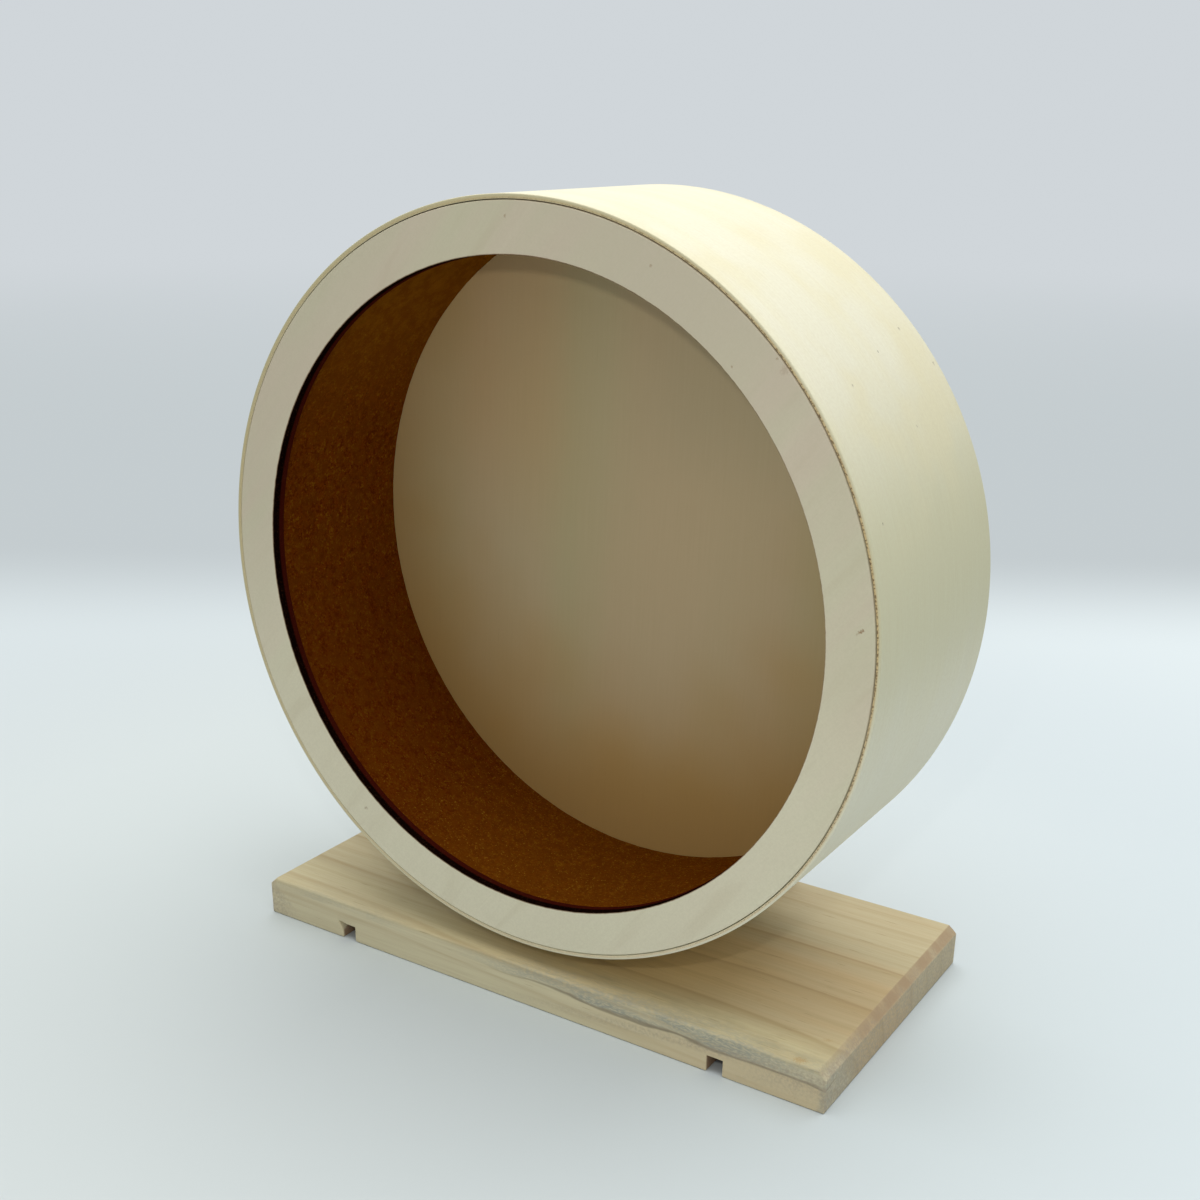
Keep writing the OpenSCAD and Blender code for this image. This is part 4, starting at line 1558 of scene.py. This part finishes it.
def lock_nut(material):
    """Hexagon whose corners are cut by a cone at both ends, with a round collar rolled in behind it."""
    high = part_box("lock_nut")[1]
    bore, collar = radii("lock_insert")
    front, back = depths("lock_nut")
    hex_back = depths("lock_insert")[0]
    points = node_points("lock_nut")
    flats = min(high.x, high.z - AXLE_HEIGHT)
    collar_outer = flats - 0.05 * MM
    corner = radii("lock_nut")[1]
    slope = 0.45
    corners = [
        (bore, front + 0.4 * MM),
        (bore + 0.4 * MM, front),
        (flats - 0.2 * MM, front),
        (corner, front + slope * (corner - flats)),
        (corner, hex_back - slope * (corner - flats)),
        (collar_outer, hex_back),
        (collar_outer, back - 0.5 * MM),
        (collar_outer - 0.5 * MM, back),
        (collar, back - 0.1 * MM),
        (collar, hex_back),
        (bore, hex_back),
    ]
    rounds = np.array([0.1, 0.1, 0.1, 0.1, 0.1, 0.15, 0.35, 0.35, 0.1, 0.1, 0.1]) * MM
    outline = refined(rounded(corners, rounds, steps=3), step=0.5 * MM, hold=0.1 * MM)

    def six_sided(radius, depth, angle):
        """Limits the radius to the hexagon's flats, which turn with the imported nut's corners."""
        within = (angle - corner_angle(points)) % (FULL_TURN / 6) - FULL_TURN / 12
        limit = flats / np.cos(within)
        return np.minimum(radius, limit), depth

    return add_surface("lock_nut_piece", turned(outline, even_turn(180), six_sided), material)


def corner_angle(points):
    """Angle of one corner of a hexagon about the axle."""
    reach = np.hypot(points[:, 0], points[:, 2] - AXLE_HEIGHT)
    far = points[np.argmax(reach)]
    return math.atan2(far[2] - AXLE_HEIGHT, far[0])


def soft_washer(node, name, material, edge):
    """Ring of the node's own size with rounded edges."""
    corners = square_section(*radii(node), *depths(node))
    outline = refined(rounded(corners, edge, steps=4), step=1 * MM, hold=0.1 * MM)
    return add_surface(name, turned(outline, even_turn(120)), material)


# Stage

# The photograph's camera: its place, its angles in degrees, its lens in millimetres and its shift
CAMERA_PLACE = (0.32094, -0.50666, 0.34117)
CAMERA_YAW = -32.64
CAMERA_PITCH = 22.496
CAMERA_ROLL = -0.715
CAMERA_LENS = 45.746
CAMERA_SHIFT = 0.1208


class WHEEL_OT_stage(Operator):
    """Camera at the photograph's viewing angle, pale floor and soft studio light"""

    bl_idname = "exercise_wheel.stage"
    bl_label = "Stage"

    def execute(self, context):
        scene = context.scene
        scene.view_settings.view_transform = "Standard"
        scene.camera = add_camera()
        floor = add_floor()
        light_world(scene)
        add_lamps()
        return {"FINISHED"}


def add_object(name, data):
    """New object in the scene's collection."""
    made = bpy.data.objects.new(name, data)
    bpy.context.scene.collection.objects.link(made)
    return made


def add_camera():
    """Camera turned by its yaw, pitch and roll, from the directions ahead, to its right and below it."""
    yaw, pitch, roll = (math.radians(x) for x in (CAMERA_YAW, CAMERA_PITCH, CAMERA_ROLL))
    ahead = Vector((math.sin(yaw) * math.cos(pitch), math.cos(yaw) * math.cos(pitch), -math.sin(pitch)))
    level = Vector((math.cos(yaw), -math.sin(yaw), 0.0))
    down = ahead.cross(level)
    right = math.cos(roll) * level + math.sin(roll) * down
    below = math.cos(roll) * down - math.sin(roll) * level
    turn = Matrix((right, -below, -ahead)).transposed()
    data = bpy.data.cameras.new("camera")
    data.sensor_width = 36.0
    data.lens = CAMERA_LENS
    data.shift_y = CAMERA_SHIFT
    data.clip_start = 0.01
    camera = add_object("camera", data)
    camera.matrix_world = Matrix.Translation(CAMERA_PLACE) @ turn.to_4x4()
    return camera


# Half the floor's side, its lines of points each way, and how far it lies under the board
FLOOR_HALF = 4.0
FLOOR_LINES = 41
FLOOR_DROP = 0.0002


def add_floor():
    """Square floor just under the board, on a grid of points."""
    line = np.linspace(-FLOOR_HALF, FLOOR_HALF, FLOOR_LINES)
    x, y = np.meshgrid(line, line)
    grid = np.stack([x, y, np.full_like(x, -FLOOR_DROP)], 2)
    rows, columns = grid_faces(FLOOR_LINES, FLOOR_LINES, False, False)
    mesh = bpy.data.meshes.new("floor")
    mesh.from_pydata(grid.reshape(-1, 3), [], (rows * FLOOR_LINES + columns).tolist())
    mesh.materials.append(floor_material())
    return add_object("floor", mesh)


def stage_colour(ahead, aside, reach):
    """Background by the distance behind the wheel: bright floor, then the backdrop's foot, then its top.

    The far floor takes the backdrop's colour on every side, so that no edge shows.
    """
    hue = colours()
    far = calc("MAXIMUM", ranged(ahead, 1.0, 3.6), ranged(reach, 1.4, 3.6))
    return over(
        # Painted light: the background is brighter towards the right
        mixed(ranged(aside, -0.45, 0.55), hue.bright, hue.bright_painted_light_right),
        (ranged(ahead, 0.40, 0.66), hue.backdrop),
        (far, hue.backdrop_top),
    )


def seen_by(tree, *rays):
    """1 for the named kinds of rays."""
    path = place(tree, "ShaderNodeLightPath").outputs
    seen = Wire(path[rays[0]])
    for ray in rays[1:]:
        seen = calc("MAXIMUM", seen, Wire(path[ray]))
    return seen


def floor_material():
    """Pale floor that keeps the wheel's shadow, and goes over into a plain bright background further off."""
    finish = Finish("pale_floor", Roughness=0.6, Specular_IOR_Level=0.2)
    hue = colours()
    yaw = math.radians(CAMERA_YAW)
    ahead = vector_calc("DOT_PRODUCT", finish.vector, (math.sin(yaw), math.cos(yaw), 0.0))
    aside = vector_calc("DOT_PRODUCT", finish.vector, (math.cos(yaw), -math.sin(yaw), 0.0))
    reach = vector_calc("LENGTH", finish.vector)
    # Painted light: the floor's right side, where more light falls, has its own bluer colour
    feed(finish.shader.inputs["Base Color"], mixed(ranged(aside, -0.3, 0.35), hue.floor, hue.floor_painted_light_right))
    shown = {"Color": stage_colour(ahead, aside, reach), "Strength": 1.0}
    glow = wired("ShaderNodeEmission", 0, shown)
    share = ranged(reach, 0.26, 0.60) * seen_by(finish.tree, "Is Camera Ray", "Is Glossy Ray")
    both = wired("ShaderNodeMixShader", 0, {0: share, 1: Wire(finish.shader.outputs[0]), 2: glow})
    feed(finish.tree.nodes["Material Output"].inputs["Surface"], both)
    return finish.material


# Strength of the even light
AMBIENT = 0.495


def light_world(scene):
    """Even light from all round; the camera and polished metal see the backdrop's colour."""
    world = bpy.data.worlds.new("studio")
    world.use_nodes = True
    tree = world.node_tree
    tree.nodes.clear()
    shown = seen_by(tree, "Is Camera Ray", "Is Glossy Ray", "Is Transmission Ray")
    even, seen = (
        Wire(place(tree, "ShaderNodeBackground", {"Color": colour, "Strength": strength}).outputs[0])
        for colour, strength in (("ambient light", AMBIENT), (colours().backdrop_top, 1.0))
    )
    both = wired("ShaderNodeMixShader", 0, {0: shown, 1: even, 2: seen})
    feed(tree.nodes.new("ShaderNodeOutputWorld").inputs["Surface"], both)
    scene.world = world


# Name, shape, place, aim, size, power and colour of each lamp
LAMPS = [
    ("overhead_softbox", "SQUARE", (0.0, 0.20, 1.5), (0.0, 0.0, 0.15), 1.9, 25.0, (1.0, 1.0, 0.98)),
    ("front_fill", "DISK", (0.255, -0.441, 0.361), (0.0, 0.0, 0.17), 0.012, 0.36, (1.0, 0.98, 0.94)),
]


def add_lamps():
    """Area lamps that point at the wheel."""
    for name, shape, spot, aim, size, power, colour in LAMPS:
        data = bpy.data.lights.new(name, "AREA")
        data.shape = shape
        data.size = size
        data.energy = power
        data.color = colour
        way = Vector(aim) - Vector(spot)
        turn = way.to_track_quat("-Z", "Y").to_matrix().to_4x4()
        add_object(name, data).matrix_world = Matrix.Translation(spot) @ turn


# Panel and registration

OPERATORS = [
    WHEEL_OT_stage,
    WHEEL_OT_rim_band,
    WHEEL_OT_front_ring,
    WHEEL_OT_cork_track,
    WHEEL_OT_back_wall,
    WHEEL_OT_hub,
    WHEEL_OT_bearings,
    WHEEL_OT_base_board,
    WHEEL_OT_upright,
    WHEEL_OT_axle,
]


class VIEW3D_PT_exercise_wheel(Panel):
    """Lists the wheel's pieces and the settings of their finish"""

    bl_label = "Exercise Wheel"
    bl_space_type = "VIEW_3D"
    bl_region_type = "UI"
    bl_category = "Exercise Wheel"

    def draw(self, context):
        column = self.layout.column(align=True)
        for made in OPERATORS:
            column.operator(made.bl_idname)
        for group in (sizes(), colours()):
            for key in group.bl_rna.properties.keys():
                if key not in {"rna_type", "name"}:
                    column.prop(group, key)


CLASSES = [WheelSizes, WheelColours, *OPERATORS, VIEW3D_PT_exercise_wheel]


def register():
    """Adds the classes and the scene's settings."""
    for each in CLASSES:
        bpy.utils.register_class(each)
    bpy.types.Scene.exercise_wheel_sizes = PointerProperty(type=WheelSizes)
    bpy.types.Scene.exercise_wheel_colours = PointerProperty(type=WheelColours)


def unregister():
    """Takes the settings and the classes away."""
    del bpy.types.Scene.exercise_wheel_colours
    del bpy.types.Scene.exercise_wheel_sizes
    for each in reversed(CLASSES):
        bpy.utils.unregister_class(each)


def main():
    """Builds the stage and every piece."""
    register()
    for made in OPERATORS:
        group, name = made.bl_idname.split(".")
        getattr(getattr(bpy.ops, group), name)()


if __name__ == "__main__":
    main()
